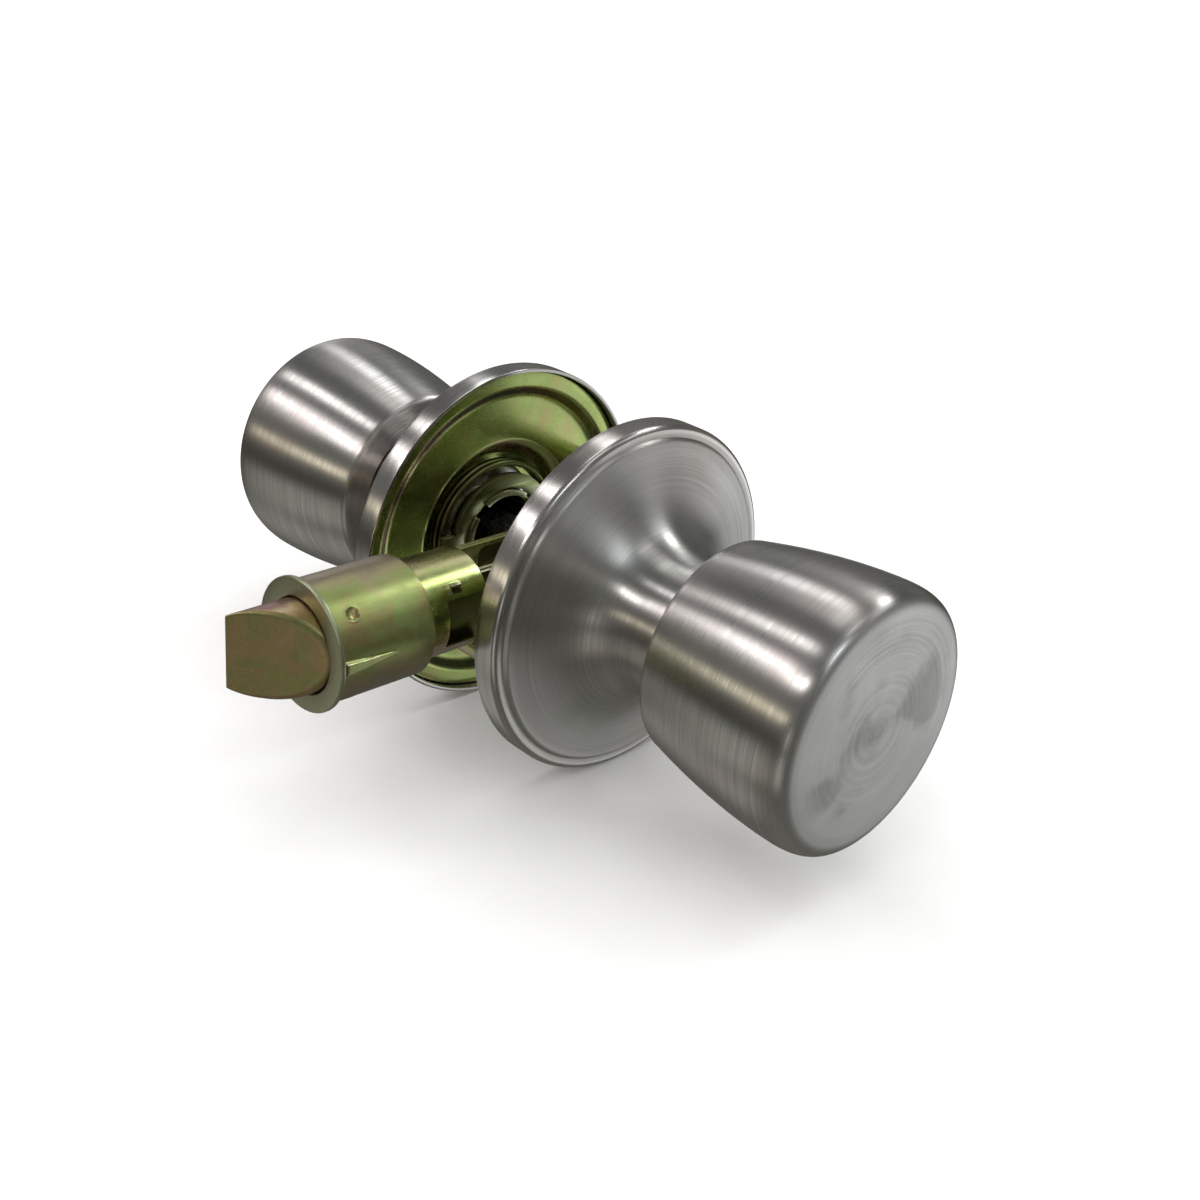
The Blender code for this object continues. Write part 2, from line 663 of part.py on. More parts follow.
def make_retractor():
    """Two forked side rails joined by a plate in front and by claws above and below the hub."""
    front, plate_rear, rear = 39.2 * MM, 38.2 * MM, CLAW_FACE - CLAW_SHEET
    slot_end, slot_half = HUB_RADIUS + 0.6 * MM + BOLT_THROW, HUB_RADIUS + 0.4 * MM
    low_half, high_half = 7.0 * MM, 8.3 * MM
    upper = [
        (slot_end, slot_half),
        (rear, slot_half),
        (rear, high_half),
        (8.0 * MM, high_half),
        (9.5 * MM, low_half),
        (front, low_half),
    ]
    outline = upper + [(x, -y) for x, y in reversed(upper)]
    half = RETRACTOR_OUTER - 0.2 * MM
    plate_half = 6.8 * MM
    corners = [(plate_half, half), (-plate_half, half), (-plate_half, -half), (plate_half, -half)]
    web = plate_mesh("web", [corners, circle((0, 0), 1.8 * MM, 12)], plate_rear, front - 0.1 * MM)
    retractor = place("latch_retractor", web, LATCH, CHROMATE)
    for label, low, high in (
        ("near_rail", -RETRACTOR_OUTER, -RETRACTOR_INNER),
        ("far_rail", RETRACTOR_INNER, RETRACTOR_OUTER),
    ):
        combine(retractor, "UNION", label, plate_mesh(label, [outline], low, high, ON_EDGE))
    for label, side in (("upper_claw", 1), ("lower_claw", -1)):
        ends = sorted((side * 6.5 * MM, side * 11.2 * MM))
        low = (ends[0], -half, rear + 0.1 * MM)
        high = (ends[1], half, CLAW_FACE)
        combine(retractor, "UNION", label, box_mesh(label, low, high))


def make_hub():
    """Square-holed hub; its arms stand against the retractor's claws."""
    tip = (-ARM_REACH * math.sin(ARM_LEAN), ARM_REACH * math.cos(ARM_LEAN))
    push_face = tip[0] + ARM_TIP_RADIUS
    root = math.degrees(math.acos(push_face / HUB_RADIUS))
    arm_back = (HUB_RADIUS * math.cos(ARM_ROOT_ANGLE), HUB_RADIUS * math.sin(ARM_ROOT_ANGLE))
    upper = arc((0, 0), HUB_RADIUS, 0, root, 9)
    upper += arc(tip, ARM_TIP_RADIUS, 0, 180, 5)
    upper += [arm_back]
    outline = upper + [(x, -y) for x, y in reversed(upper[1:])]
    arms = plate_mesh("arms", [outline], -ARM_HALF_WIDTH, ARM_HALF_WIDTH)
    hub = place("latch_hub", arms, NEAR, CHROMATE)
    boss = rod_mesh("boss", HUB_RADIUS - 0.05 * MM, -HUB_HALF_LENGTH, HUB_HALF_LENGTH, 24)
    combine(hub, "UNION", "boss", boss)
    half = SOCKET_SIDE / 2
    deep = 2 * HUB_HALF_LENGTH
    combine(hub, "DIFFERENCE", "socket", box_mesh("socket", (-half, -half, -deep), (half, half, deep)))


def make_latch_spring():
    """Compression spring between the bolt's pocket and the frame's web."""
    coil_radius, wire_radius = 4.0 * MM, 0.45 * MM
    start, end = WEB_FRONT + wire_radius + GAP, POCKET_END - wire_radius - GAP
    turns, per_turn = 6, 10
    points = []
    for i in range(turns * per_turn + 1):
        angle = 2 * math.pi * i / per_turn
        height = start + (end - start) * i / (turns * per_turn)
        points.append((coil_radius * math.cos(angle), coil_radius * math.sin(angle), height))
    wire("latch_spring", points, wire_radius, LATCH, BRIGHT_STEEL)


def make_latch():
    make_collar()
    make_sleeve()
    make_case()
    make_frame()
    make_frame_rivet()
    make_bolt()
    make_tail_rod()
    make_retractor()
    make_hub()
    make_latch_spring()


for side_name, side_axis, local_up in (("near", NEAR, 1), ("far", FAR, -1)):
    make_side(side_name, side_axis, local_up)
for place_name, side in (("front", -1), ("rear", 1)):
    make_screw(place_name + "_screw", side * POST_X, side * POST_Z)
    make_post(place_name + "_post", side * POST_X, -side * POST_Z)
make_spindle()
make_latch()
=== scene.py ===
"""Finished look of the tubular passage knob set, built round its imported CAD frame.

Every CAD node is replaced by a finer mesh in the same place. Pieces are modelled on three axes that meet
where the spindle crosses the latch. On a side axis, local Z is the distance from the middle of the door out
to that knob and local X is world X. On the latch axis, local Z is the reach from the spindle to the bolt,
local X is up and local Y is world Y.
"""

import json
import math

import bmesh
import bpy
import numpy as np
from mathutils import Matrix, Vector


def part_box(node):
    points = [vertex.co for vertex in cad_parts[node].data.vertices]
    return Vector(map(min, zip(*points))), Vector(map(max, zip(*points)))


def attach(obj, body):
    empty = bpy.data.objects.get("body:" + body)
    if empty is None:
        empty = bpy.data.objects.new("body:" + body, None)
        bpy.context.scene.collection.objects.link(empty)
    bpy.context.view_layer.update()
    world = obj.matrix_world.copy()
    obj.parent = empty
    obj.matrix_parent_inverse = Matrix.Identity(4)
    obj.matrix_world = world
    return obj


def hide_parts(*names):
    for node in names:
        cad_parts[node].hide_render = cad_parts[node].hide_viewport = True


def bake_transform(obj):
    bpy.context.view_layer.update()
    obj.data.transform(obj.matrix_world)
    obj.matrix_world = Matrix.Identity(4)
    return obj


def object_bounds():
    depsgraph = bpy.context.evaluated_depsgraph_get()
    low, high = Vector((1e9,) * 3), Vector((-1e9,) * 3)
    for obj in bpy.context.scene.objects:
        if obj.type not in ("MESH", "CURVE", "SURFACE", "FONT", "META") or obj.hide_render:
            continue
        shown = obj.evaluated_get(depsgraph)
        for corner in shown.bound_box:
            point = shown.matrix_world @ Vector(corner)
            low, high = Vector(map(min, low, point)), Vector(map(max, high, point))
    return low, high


MM = 0.001


def mm(*sizes):
    return [size * MM for size in sizes]


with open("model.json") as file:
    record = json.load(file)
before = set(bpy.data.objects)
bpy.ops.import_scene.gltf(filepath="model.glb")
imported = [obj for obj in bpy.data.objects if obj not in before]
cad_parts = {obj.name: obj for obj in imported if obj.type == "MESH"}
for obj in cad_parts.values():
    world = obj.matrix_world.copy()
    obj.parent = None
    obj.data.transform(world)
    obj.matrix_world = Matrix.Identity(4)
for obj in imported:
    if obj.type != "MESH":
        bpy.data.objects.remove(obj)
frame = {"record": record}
CAD_LOW, CAD_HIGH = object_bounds()

# ---- sizes, read from the CAD boxes


def half_width(node, axis=0):
    low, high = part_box(node)
    return (high[axis] - low[axis]) / 2


def side_span(node):
    """Inner and outer end of a near-side piece, as distances from the middle of the door."""
    low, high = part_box(node)
    return -high.y, -low.y


def latch_span(node):
    """Rear and front end of a latch piece, as reaches from the spindle."""
    low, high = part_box(node)
    return SPINDLE_X - high.x, SPINDLE_X - low.x


ROSE_LOW, ROSE_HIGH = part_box("near_rose")
SPINDLE_X = ((ROSE_LOW + ROSE_HIGH) / 2).x
HALF_DOOR, NECK_END = side_span("near_rose")
KNOB_BACK, KNOB_TOP = side_span("near_knob_shell")
ROSE_RADIUS = half_width("near_rose")
NECK_RADIUS = 14.4 * MM
KNOB_RADIUS = half_width("near_knob_shell")
PLATE_RADIUS = half_width("near_backplate")
TUBE_RADIUS = half_width("near_drive_tube")
GAP = 0.3 * MM
BORE = TUBE_RADIUS + GAP

SCREW_LOW, SCREW_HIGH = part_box("front_screw")
SCREW_MIDDLE = (SCREW_LOW + SCREW_HIGH) / 2
POST_X = SPINDLE_X - SCREW_MIDDLE.x
POST_Z = -SCREW_MIDDLE.z

UP = 2
COLLAR_RADIUS = half_width("latch_collar", UP)
SLEEVE_RADIUS = half_width("latch_sleeve", UP)
CASE_RADIUS = half_width("latch_case", UP)
BOLT_RADIUS = half_width("latch_bolt", UP)
COLLAR_FACE = latch_span("latch_collar")[1]
SLEEVE_REAR, SLEEVE_FRONT = latch_span("latch_sleeve")
CASE_REAR, CASE_FRONT = latch_span("latch_case")
BOLT_REAR, BOLT_TIP = latch_span("latch_bolt")

NEAR = Matrix.Translation((SPINDLE_X, 0, 0)) @ Matrix.Rotation(math.radians(90), 4, "X")
FAR = Matrix.Translation((SPINDLE_X, 0, 0)) @ Matrix.Rotation(math.radians(-90), 4, "X")
LATCH = Matrix.Translation((SPINDLE_X, 0, 0)) @ Matrix.Rotation(math.radians(-90), 4, "Y")

BODY = {n: b for b, nodes in frame["record"]["behaviour"]["bodies"].items() for n in nodes}

# Segments round a turned piece
FINE, MEDIUM, SMALL = 192, 128, 64
MERGE = 0.000004
SHARP = math.radians(32)
ON_AXIS = 1e-7
FINISH = "_finish"

# ---- shader helpers


class Graph:
    """Short calls for building a node tree."""

    def __init__(self, tree):
        self.tree = tree

    def add(self, kind, inputs=None, **settings):
        node = self.tree.nodes.new(kind)
        for key, value in settings.items():
            setattr(node, key, value)
        for key, value in (inputs or {}).items():
            self.put(node.inputs[key], value)
        return node

    def put(self, socket, value):
        if isinstance(value, bpy.types.NodeSocket):
            self.tree.links.new(value, socket)
        else:
            socket.default_value = value

    def shade(self, shader, **values):
        """Sets a shader's inputs, each named with underscores for spaces."""
        for key, value in values.items():
            self.put(shader.inputs[key.replace("_", " ")], value)

    def math(self, operation, a, b=0.0, clamp=False):
        node = self.add("ShaderNodeMath", operation=operation, use_clamp=clamp)
        self.put(node.inputs[0], a)
        self.put(node.inputs[1], b)
        return node.outputs[0]

    def times(self, a, b):
        return self.math("MULTIPLY", a, b)

    def plus(self, a, b, clamp=False):
        return self.math("ADD", a, b, clamp)

    def vector(self, operation, a, b=(0, 0, 0), scale=None):
        node = self.add("ShaderNodeVectorMath", operation=operation)
        self.put(node.inputs[0], a)
        self.put(node.inputs[1], b)
        if scale is not None:
            self.put(node.inputs["Scale"], scale)
        return node.outputs["Value" if operation in ("DOT_PRODUCT", "LENGTH") else "Vector"]

    def combine(self, x, y, z):
        return self.add("ShaderNodeCombineXYZ", {"X": x, "Y": y, "Z": z}).outputs[0]

    def separate(self, vector):
        return self.add("ShaderNodeSeparateXYZ", {"Vector": vector}).outputs

    def noise(self, vector, scale=1.0, detail=2.0, rough=0.5, warp=0.0, w=None):
        node = self.add("ShaderNodeTexNoise", noise_dimensions="3D" if w is None else "4D")
        self.put(node.inputs["Vector"], vector)
        self.shade(node, Scale=scale, Detail=detail, Roughness=rough, Distortion=warp)
        if w is not None:
            self.put(node.inputs["W"], w)
        return node.outputs["Fac"]

    def band(self, value, start, end, low=0.0, high=1.0, smooth=True):
        kind = "SMOOTHSTEP" if smooth else "LINEAR"
        node = self.add("ShaderNodeMapRange", clamp=True, interpolation_type=kind)
        self.shade(node, Value=value, From_Min=start, From_Max=end, To_Min=low, To_Max=high)
        return node.outputs["Result"]

    def ramp(self, factor, stops):
        node = self.add("ShaderNodeValToRGB", {"Fac": factor})
        elements = node.color_ramp.elements
        while len(elements) < len(stops):
            elements.new(0.5)
        for element, (position, colour) in zip(elements, stops):
            element.position = position
            element.color = (*colour, 1.0)
        return node.outputs["Color"]

    def mix(self, factor, a, b, blend="MIX"):
        node = self.add("ShaderNodeMix", data_type="RGBA", blend_type=blend)
        self.put(node.inputs[0], factor)
        for socket, value in ((node.inputs[6], a), (node.inputs[7], b)):
            self.put(socket, (*value, 1.0) if isinstance(value, tuple) and len(value) == 3 else value)
        return node.outputs[2]


def new_material(name):
    made = bpy.data.materials.new(name)
    made.use_nodes = True
    graph = Graph(made.node_tree)
    return made, graph, made.node_tree.nodes["Principled BSDF"]


def cylinder_coordinates(graph):
    """Object position in millimetres, with its distance from the local Z axis."""
    place = graph.add("ShaderNodeTexCoord").outputs["Object"]
    scaled = graph.vector("SCALE", place, scale=1000.0)
    x, y, z = graph.separate(scaled)
    radius = graph.vector("LENGTH", graph.combine(x, y, 0.0))
    return scaled, x, y, z, radius


def lines_round_axis(graph, x, y, z, radius, pitch, length):
    """Brushing that runs round the axis: fine across it, long along it, with no seam."""
    finer = [graph.math("DIVIDE", *pair) for pair in ((radius, pitch), (z, pitch), (x, length))]
    return graph.noise(graph.combine(*finer), detail=3.0, rough=0.6, w=graph.math("DIVIDE", y, length))


def bump(graph, height, strength, distance):
    node = graph.add("ShaderNodeBump", {"Height": height, "Strength": strength, "Distance": distance})
    return node.outputs["Normal"]


def rubbed_and_highlit_edges(graph):
    """The outer edges, lightened: rubbed bright by hands and doors, and partly a painted highlight."""
    return graph.band(graph.add("ShaderNodeNewGeometry").outputs["Pointiness"], 0.515, 0.56)


BRUSHED = ((0.30, (0.50, 0.485, 0.47)), (0.50, (0.60, 0.585, 0.57)), (0.70, (0.70, 0.69, 0.675)))
CLOUDED = ((0.35, (0.94, 0.97, 0.95)), (0.50, (1.0, 1.0, 1.0)), (0.66, (1.0, 0.955, 0.94)))


def stainless(name, kind):
    """Satin stainless, brushed round the axis. kind is rose or knob."""
    made, graph, shader = new_material(name)
    place, x, y, z, radius = cylinder_coordinates(graph)
    coarse = lines_round_axis(graph, x, y, z, radius, 0.55, 40.0)
    fine = lines_round_axis(graph, x, y, z, radius, 0.14, 18.0)
    lines = graph.plus(graph.times(coarse, 0.55), graph.times(fine, 0.45))
    cloud = graph.noise(place, 0.045, 3.0, 0.55, 0.4)
    colour = graph.ramp(lines, BRUSHED)
    tint = graph.ramp(cloud, CLOUDED)
    colour = graph.mix(1.0, colour, tint, "MULTIPLY")
    rough = graph.band(lines, 0.3, 0.7, 0.05, -0.05)
    if kind == "rose":
        polish = graph.band(radius, 19.0, 27.0, 0.33, 0.38)
        polish = graph.math("SUBTRACT", polish, graph.band(radius, 33.2, 34.4, 0.0, 0.15))
        aniso = graph.band(radius, 33.0, 34.5, 0.88, 0.75)
    else:
        face = graph.band(z, KNOB_TOP * 1000 - 1.3, KNOB_TOP * 1000 - 0.35)
        # Painted reflection: a darker cloudy patch along a line across the middle of the face.
        aside = graph.math("ABSOLUTE", graph.math("SUBTRACT", graph.times(x, 0.42), y))
        dark_reflection_patch = graph.noise(graph.vector("ADD", place, (3.0, 14.0, 0.0)), 0.09, 4.0, 0.5, 0.2)
        dark_reflection_patch = graph.math("SUBTRACT", dark_reflection_patch, graph.times(aside, 0.014))
        dark_reflection_patch = graph.band(dark_reflection_patch, 0.36, 0.56)
        dark_reflection_patch = graph.times(dark_reflection_patch, graph.band(radius, 22.0, 15.0))
        frosted_and_reflection = graph.mix(dark_reflection_patch, (0.68, 0.68, 0.665), (0.46, 0.46, 0.445))
        grain = graph.noise(place, 5.0, 2.0, 0.7)
        frosted_and_reflection = graph.mix(graph.band(grain, 0.3, 0.7, 0.0, 0.25), frosted_and_reflection, (0.55, 0.55, 0.54))
        colour = graph.mix(face, colour, frosted_and_reflection)
        polish = graph.band(face, 0.0, 1.0, 0.29, 0.48)
        aniso = graph.band(face, 0.0, 1.0, 0.88, 0.10)
    # Edges lightened: rubbed metal, and partly a painted highlight.
    colour = graph.mix(graph.times(rubbed_and_highlit_edges(graph), 0.5), colour, (0.80, 0.79, 0.775))
    rough = graph.plus(rough, polish)
    rough = graph.plus(rough, graph.band(cloud, 0.35, 0.65, -0.02, 0.03), clamp=True)
    graph.shade(shader, Base_Color=colour, Metallic=1.0, Roughness=rough, Anisotropic=aniso)
    graph.shade(shader, Anisotropic_Rotation=0.25, Normal=bump(graph, lines, 0.16, 0.00003))
    tangent = graph.add("ShaderNodeTangent", direction_type="RADIAL", axis="Z").outputs[0]
    graph.shade(shader, Tangent=tangent)
    return made


# Chromate film colours from head-on to grazing.
FILM = (
    (0.00, (0.54, 0.40, 0.18)),
    (0.12, (0.52, 0.45, 0.18)),
    (0.24, (0.46, 0.58, 0.20)),
    (0.33, (0.52, 0.58, 0.23)),
    (0.46, (0.62, 0.56, 0.31)),
    (0.60, (0.54, 0.45, 0.31)),
    (0.80, (0.50, 0.42, 0.33)),
    (1.00, (0.56, 0.44, 0.42)),
)
FILM_PLATE = (
    (0.00, (0.54, 0.42, 0.19)),
    (0.14, (0.52, 0.50, 0.20)),
    (0.30, (0.47, 0.60, 0.20)),
    (0.42, (0.48, 0.60, 0.20)),
    (0.54, (0.62, 0.60, 0.26)),
    (0.66, (0.68, 0.50, 0.33)),
    (1.00, (0.64, 0.44, 0.42)),
)
FILM_BOLT = (
    (0.00, (0.46, 0.45, 0.18)),
    (0.10, (0.50, 0.45, 0.18)),
    (0.20, (0.60, 0.44, 0.21)),
    (0.34, (0.64, 0.43, 0.25)),
    (0.48, (0.74, 0.58, 0.38)),
    (0.60, (0.62, 0.38, 0.34)),
    (1.00, (0.62, 0.38, 0.43)),
)
FILM_COLLAR = (
    (0.00, (0.48, 0.50, 0.30)),
    (0.30, (0.50, 0.56, 0.36)),
    (0.45, (0.54, 0.58, 0.38)),
    (0.75, (0.66, 0.60, 0.42)),
    (1.00, (0.74, 0.60, 0.52)),
)


def chromate(
    name, polish=0.30, vary=1.0, scale=1.0, bright=1.0, rough_film=1.0, stops=FILM, painted_shade_radii=None, edge_wear_and_shade=0.7
):
    """Yellow zinc chromate: the film turns from olive through green and straw to rose with the angle.

    vary is how patchy the film is and scale how small the patches are. painted_shade_radii gives four radii
    between which the piece is darkened as painted shade. edge_wear_and_shade is how far the film is rubbed
    off its edges, a lightening that is partly a painted highlight; at zero the creases also lose their
    painted shade.
    """
    made, graph, shader = new_material(name)
    place, *_, radius = cylinder_coordinates(graph)
    facing = graph.add("ShaderNodeLayerWeight", {"Blend": 0.5}).outputs["Facing"]
    film = graph.noise(place, 0.09 * scale, 3.0, 0.5, 0.9)
    patch = graph.noise(place, 0.28 * scale, 3.0, 0.55, 0.5)
    shift = graph.plus(
        graph.band(film, 0.28, 0.72, -0.17 * vary, 0.17 * vary, False),
        graph.band(patch, 0.3, 0.7, -0.06 * vary, 0.06 * vary, False),
    )
    colour = graph.ramp(graph.plus(facing, shift), stops)
    speck = graph.noise(place, 2.2, 3.0, 0.6)
    colour = graph.mix(graph.band(speck, 0.58, 0.74, 0.0, 0.22 * rough_film), colour, (0.30, 0.28, 0.14))
    draw = graph.noise(graph.vector("MULTIPLY", place, (1.0, 1.0, 0.1)), 1.6, 2.0, 0.6)
    colour = graph.mix(graph.band(draw, 0.35, 0.7, 0.0, 0.15), colour, (0.74, 0.74, 0.42))
    colour = graph.vector("SCALE", colour, scale=bright)
    # Painted shade: near-black between the given radii.
    if painted_shade_radii is not None:
        start, full, still, end = painted_shade_radii
        shade = graph.times(graph.band(radius, start, full), graph.band(radius, end, still))
        colour = graph.mix(graph.times(shade, 0.85), colour, (0.05, 0.05, 0.025))
    if edge_wear_and_shade > 0:
        # Painted shade: near-black in concave creases, where the pointiness is low.
        painted_crevice_shade = graph.band(graph.add("ShaderNodeNewGeometry").outputs["Pointiness"], 0.495, 0.44)
        colour = graph.mix(graph.times(painted_crevice_shade, 0.75), colour, (0.07, 0.06, 0.03))
        # Edges lightened: film rubbed off, and partly a painted highlight.
        colour = graph.mix(graph.times(rubbed_and_highlit_edges(graph), edge_wear_and_shade), colour, (0.84, 0.82, 0.62))
    rough = graph.plus(
        graph.band(patch, 0.3, 0.7, polish - 0.03, polish + 0.04),
        graph.band(speck, 0.5, 0.75, 0.0, 0.08 * rough_film),
    )
    graph.shade(shader, Base_Color=colour, Metallic=1.0, Roughness=rough)
    height = graph.plus(graph.times(draw, 0.5), graph.times(speck, 0.5))
    graph.shade(shader, Normal=bump(graph, height, 0.10 * rough_film, 0.00006))
    return made


def bright_steel(name):
    """Zinc over drawn or turned steel."""
    made, graph, shader = new_material(name)
    place, x, y, z, radius = cylinder_coordinates(graph)
    lines = lines_round_axis(graph, x, y, z, radius, 0.35, 6.0)
    patch = graph.noise(place, 0.5, 3.0, 0.6)
    colour = graph.ramp(lines, ((0.3, (0.50, 0.50, 0.49)), (0.7, (0.72, 0.72, 0.70))))
    colour = graph.mix(graph.band(patch, 0.45, 0.70, 0.0, 0.6), colour, (0.46, 0.44, 0.39))
    # Edges lightened: rubbed zinc, and partly a painted highlight.
    colour = graph.mix(graph.times(rubbed_and_highlit_edges(graph), 0.6), colour, (0.86, 0.86, 0.84))
    rough = graph.band(patch, 0.3, 0.7, 0.20, 0.36)
    graph.shade(shader, Base_Color=colour, Metallic=1.0, Roughness=rough)
    graph.shade(shader, Normal=bump(graph, lines, 0.15, 0.00003))
    return made


def nylon(name):
    """Natural moulded nylon with faint flow marks."""
    made, graph, shader = new_material(name)
    place = cylinder_coordinates(graph)[0]
    flow = graph.noise(place, 0.35, 3.0, 0.6, 1.0)
    grain = graph.noise(place, 7.0, 2.0, 0.6)
    colour = graph.ramp(flow, ((0.3, (0.68, 0.66, 0.58)), (0.7, (0.82, 0.80, 0.73))))
    rough = graph.band(grain, 0.3, 0.7, 0.42, 0.56)
    graph.shade(shader, Base_Color=colour, Roughness=rough, Normal=bump(graph, grain, 0.10, 0.00005))
    graph.shade(shader, Subsurface_Weight=0.15, Subsurface_Radius=(0.002, 0.002, 0.0015))
    return made


ROSE_STEEL = stainless("satin_stainless_rose", "rose")
KNOB_STEEL = stainless("satin_stainless_knob", "knob")
CHROMATE = chromate("yellow_chromate")
# The plate's film is darkened on the wall of its step as painted shade.
CHROMATE_PLATE = chromate(
    "yellow_chromate_plate", 0.24, 1.3, 0.9, 0.84, 0.6, FILM_PLATE, painted_shade_radii=(28.9, 29.5, 30.4, 31.0), edge_wear_and_shade=0.0
)
# Painted shade: the cup's and spring's film is scaled much darker for their place deep in the cup.
SHADED_CHROMATE_CUP = chromate("yellow_chromate_cup", 0.30, 0.8, 1.0, 0.46, 1.0, FILM_PLATE)
SHADED_CHROMATE_SPRING = chromate("yellow_chromate_spring", 0.30, 0.8, 1.0, 0.34, 1.0, FILM_PLATE, edge_wear_and_shade=0.0)
CHROMATE_SLEEVE = chromate("yellow_chromate_sleeve", 0.36, 0.8, 1.3, 0.80, 1.2)
# The case's film is darkened inside its bore as painted shade.
CHROMATE_CASE = chromate("yellow_chromate_case", 0.24, 0.6, 1.0, 1.05, 0.5, painted_shade_radii=(1.0, 2.0, 9.0, 9.2))
# Painted shade: the frame's film is scaled to about a quarter for its place between the roses.
SHADED_CHROMATE_FRAME = chromate("yellow_chromate_frame", 0.34, 0.8, 1.0, 0.26, 0.5)
CHROMATE_BOLT = chromate("yellow_chromate_bolt", 0.40, 1.3, 1.5, 0.76, 1.2, FILM_BOLT)
CHROMATE_COLLAR = chromate("yellow_chromate_collar", 0.36, 0.5, 1.0, 0.78, 1.0, FILM_COLLAR)
STEEL = bright_steel("bright_zinc")
NYLON = nylon("nylon")

# ---- mesh helpers


def stored(form, mesh=None):
    """Writes a bmesh to a mesh, which is new unless one is given, and frees it."""
    mesh = mesh or bpy.data.meshes.new("form")
    form.to_mesh(mesh)
    form.free()
    return mesh


def opened(mesh):
    form = bmesh.new()
    form.from_mesh(mesh)
    return form


def new_mesh(verts, faces):
    mesh = bpy.data.meshes.new("form")
    mesh.from_pydata([tuple(v) for v in verts], [], faces)
    form = opened(mesh)
    bmesh.ops.recalc_face_normals(form, faces=form.faces)
    return stored(form, mesh)


def new_object(name, mesh):
    made = bpy.data.objects.new(name, mesh)
    bpy.context.scene.collection.objects.link(made)
    return made


def piece(node, mesh):
    """The object that will stand for a CAD node."""
    return new_object(node + FINISH, mesh)


def evaluated(obj):
    """A fresh mesh of obj with its modifiers applied."""
    bpy.context.view_layer.update()
    graph = bpy.context.evaluated_depsgraph_get()
    return bpy.data.meshes.new_from_object(obj.evaluated_get(graph))


def apply_steps(obj):
    made = evaluated(obj)
    obj.modifiers.clear()
    obj.data = made


def combine(obj, operation, tools):
    """Cuts or joins helper meshes, given in the same local axes."""
    for mesh in tools:
        helper = new_object("helper", mesh)
        step = obj.modifiers.new("step", "BOOLEAN")
        step.operation = operation
        step.object = helper
        step.solver = "EXACT"
        apply_steps(obj)
        bpy.data.objects.remove(helper)


def ease(obj, width, segments=2, angle=34):
    """Rounds the edges sharper than angle, and applies it."""
    form = opened(obj.data)
    bmesh.ops.remove_doubles(form, verts=form.verts, dist=MERGE)
    bmesh.ops.dissolve_degenerate(form, edges=form.edges, dist=MERGE)
    stored(form, obj.data)
    step = obj.modifiers.new("ease", "BEVEL")
    step.width = width
    step.segments = segments
    step.limit_method = "ANGLE"
    step.angle_limit = math.radians(angle)
    step.use_clamp_overlap = True
    apply_steps(obj)


def stand_for(obj, axis, material):
    """Finishes a piece: places it, gives it its material, shades it and puts it on its node's body."""
    node = obj.name.removesuffix(FINISH)
    obj.matrix_world = axis
    obj.data.materials.clear()
    obj.data.materials.append(material)
    obj.data.shade_smooth()
    obj.data.set_sharp_from_angle(angle=SHARP)
    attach(obj, BODY[node])
    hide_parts(node)
    return obj


def rounded(points, radius, closed=True, steps=4):
    """Profile corners eased by short arcs. A point may give its own radius as a third value."""
    made, count = [], len(points)
    for i, point in enumerate(points):
        here = Vector(point[:2])
        size = point[2] if len(point) == 3 else radius
        if size <= 0 or here.x < ON_AXIS or (not closed and i in (0, count - 1)):
            made.append(here)
            continue
        before = Vector(points[i - 1][:2]) - here
        after = Vector(points[(i + 1) % count][:2]) - here
        if before.angle(after) > math.radians(176):
            made.append(here)
            continue
        start = here + before.normalized() * min(size, 0.46 * before.length)
        end = here + after.normalized() * min(size, 0.46 * after.length)
        for k in range(steps + 1):
            t = k / steps
            made.append((1 - t) ** 2 * start + 2 * t * (1 - t) * here + t * t * end)
    return made


def spaced(points, step, closed=True):
    """The same line with extra points, so that no span is longer than step."""
    made, count = [], len(points)
    for i in range(count if closed else count - 1):
        a, b = Vector(points[i]), Vector(points[(i + 1) % count])
        parts = max(1, math.ceil((b - a).length / step))
        made += [a.lerp(b, k / parts) for k in range(parts)]
    return made if closed else made + [Vector(points[-1])]


def bezier(points, count):
    made = []
    for i in range(count):
        t = i / (count - 1)
        weights = ((1 - t) ** 3, 3 * (1 - t) ** 2 * t, 3 * (1 - t) * t**2, t**3)
        made.append(tuple(sum(w * p[k] for w, p in zip(weights, points)) for k in range(2)))
    return made


def offset_line(points, sheet):
    """The line moved by sheet to its right, which is the inner side of an outer profile."""
    made = []
    for i, point in enumerate(points):
        here = Vector(point[:2])
        normals = []
        if i > 0:
            along = here - Vector(points[i - 1][:2])
            normals.append(Vector((-along.y, along.x)).normalized())
        if i < len(points) - 1:
            along = Vector(points[i + 1][:2]) - here
            normals.append(Vector((-along.y, along.x)).normalized())
        if here.x < ON_AXIS:
            normals = [Vector((0.0, math.copysign(1.0, normals[0].y)))]
        middle = sum(normals, Vector((0.0, 0.0))).normalized()
        made.append(here - middle * (sheet / max(middle.dot(normals[0]), 0.5)))
    return made


def skin(rings):
    """Closed surface over rings of equal length, each joined to the next; a single point closes an end."""
    verts, places, faces = [], [], []
    for ring in rings:
        places.append(range(len(verts), len(verts) + len(ring)))
        verts += [tuple(p) for p in ring]
    for i, a in enumerate(places):
        b = places[(i + 1) % len(places)]
        if len(a) == 1 and len(b) == 1:
            continue
        count = max(len(a), len(b))
        for k in range(count):
            n = (k + 1) % count
            if len(a) == 1:
                faces.append((a[0], b[n], b[k]))
            elif len(b) == 1:
                faces.append((a[k], a[n], b[0]))
            else:
                faces.append((a[k], a[n], b[n], b[k]))
    return new_mesh(verts, faces)


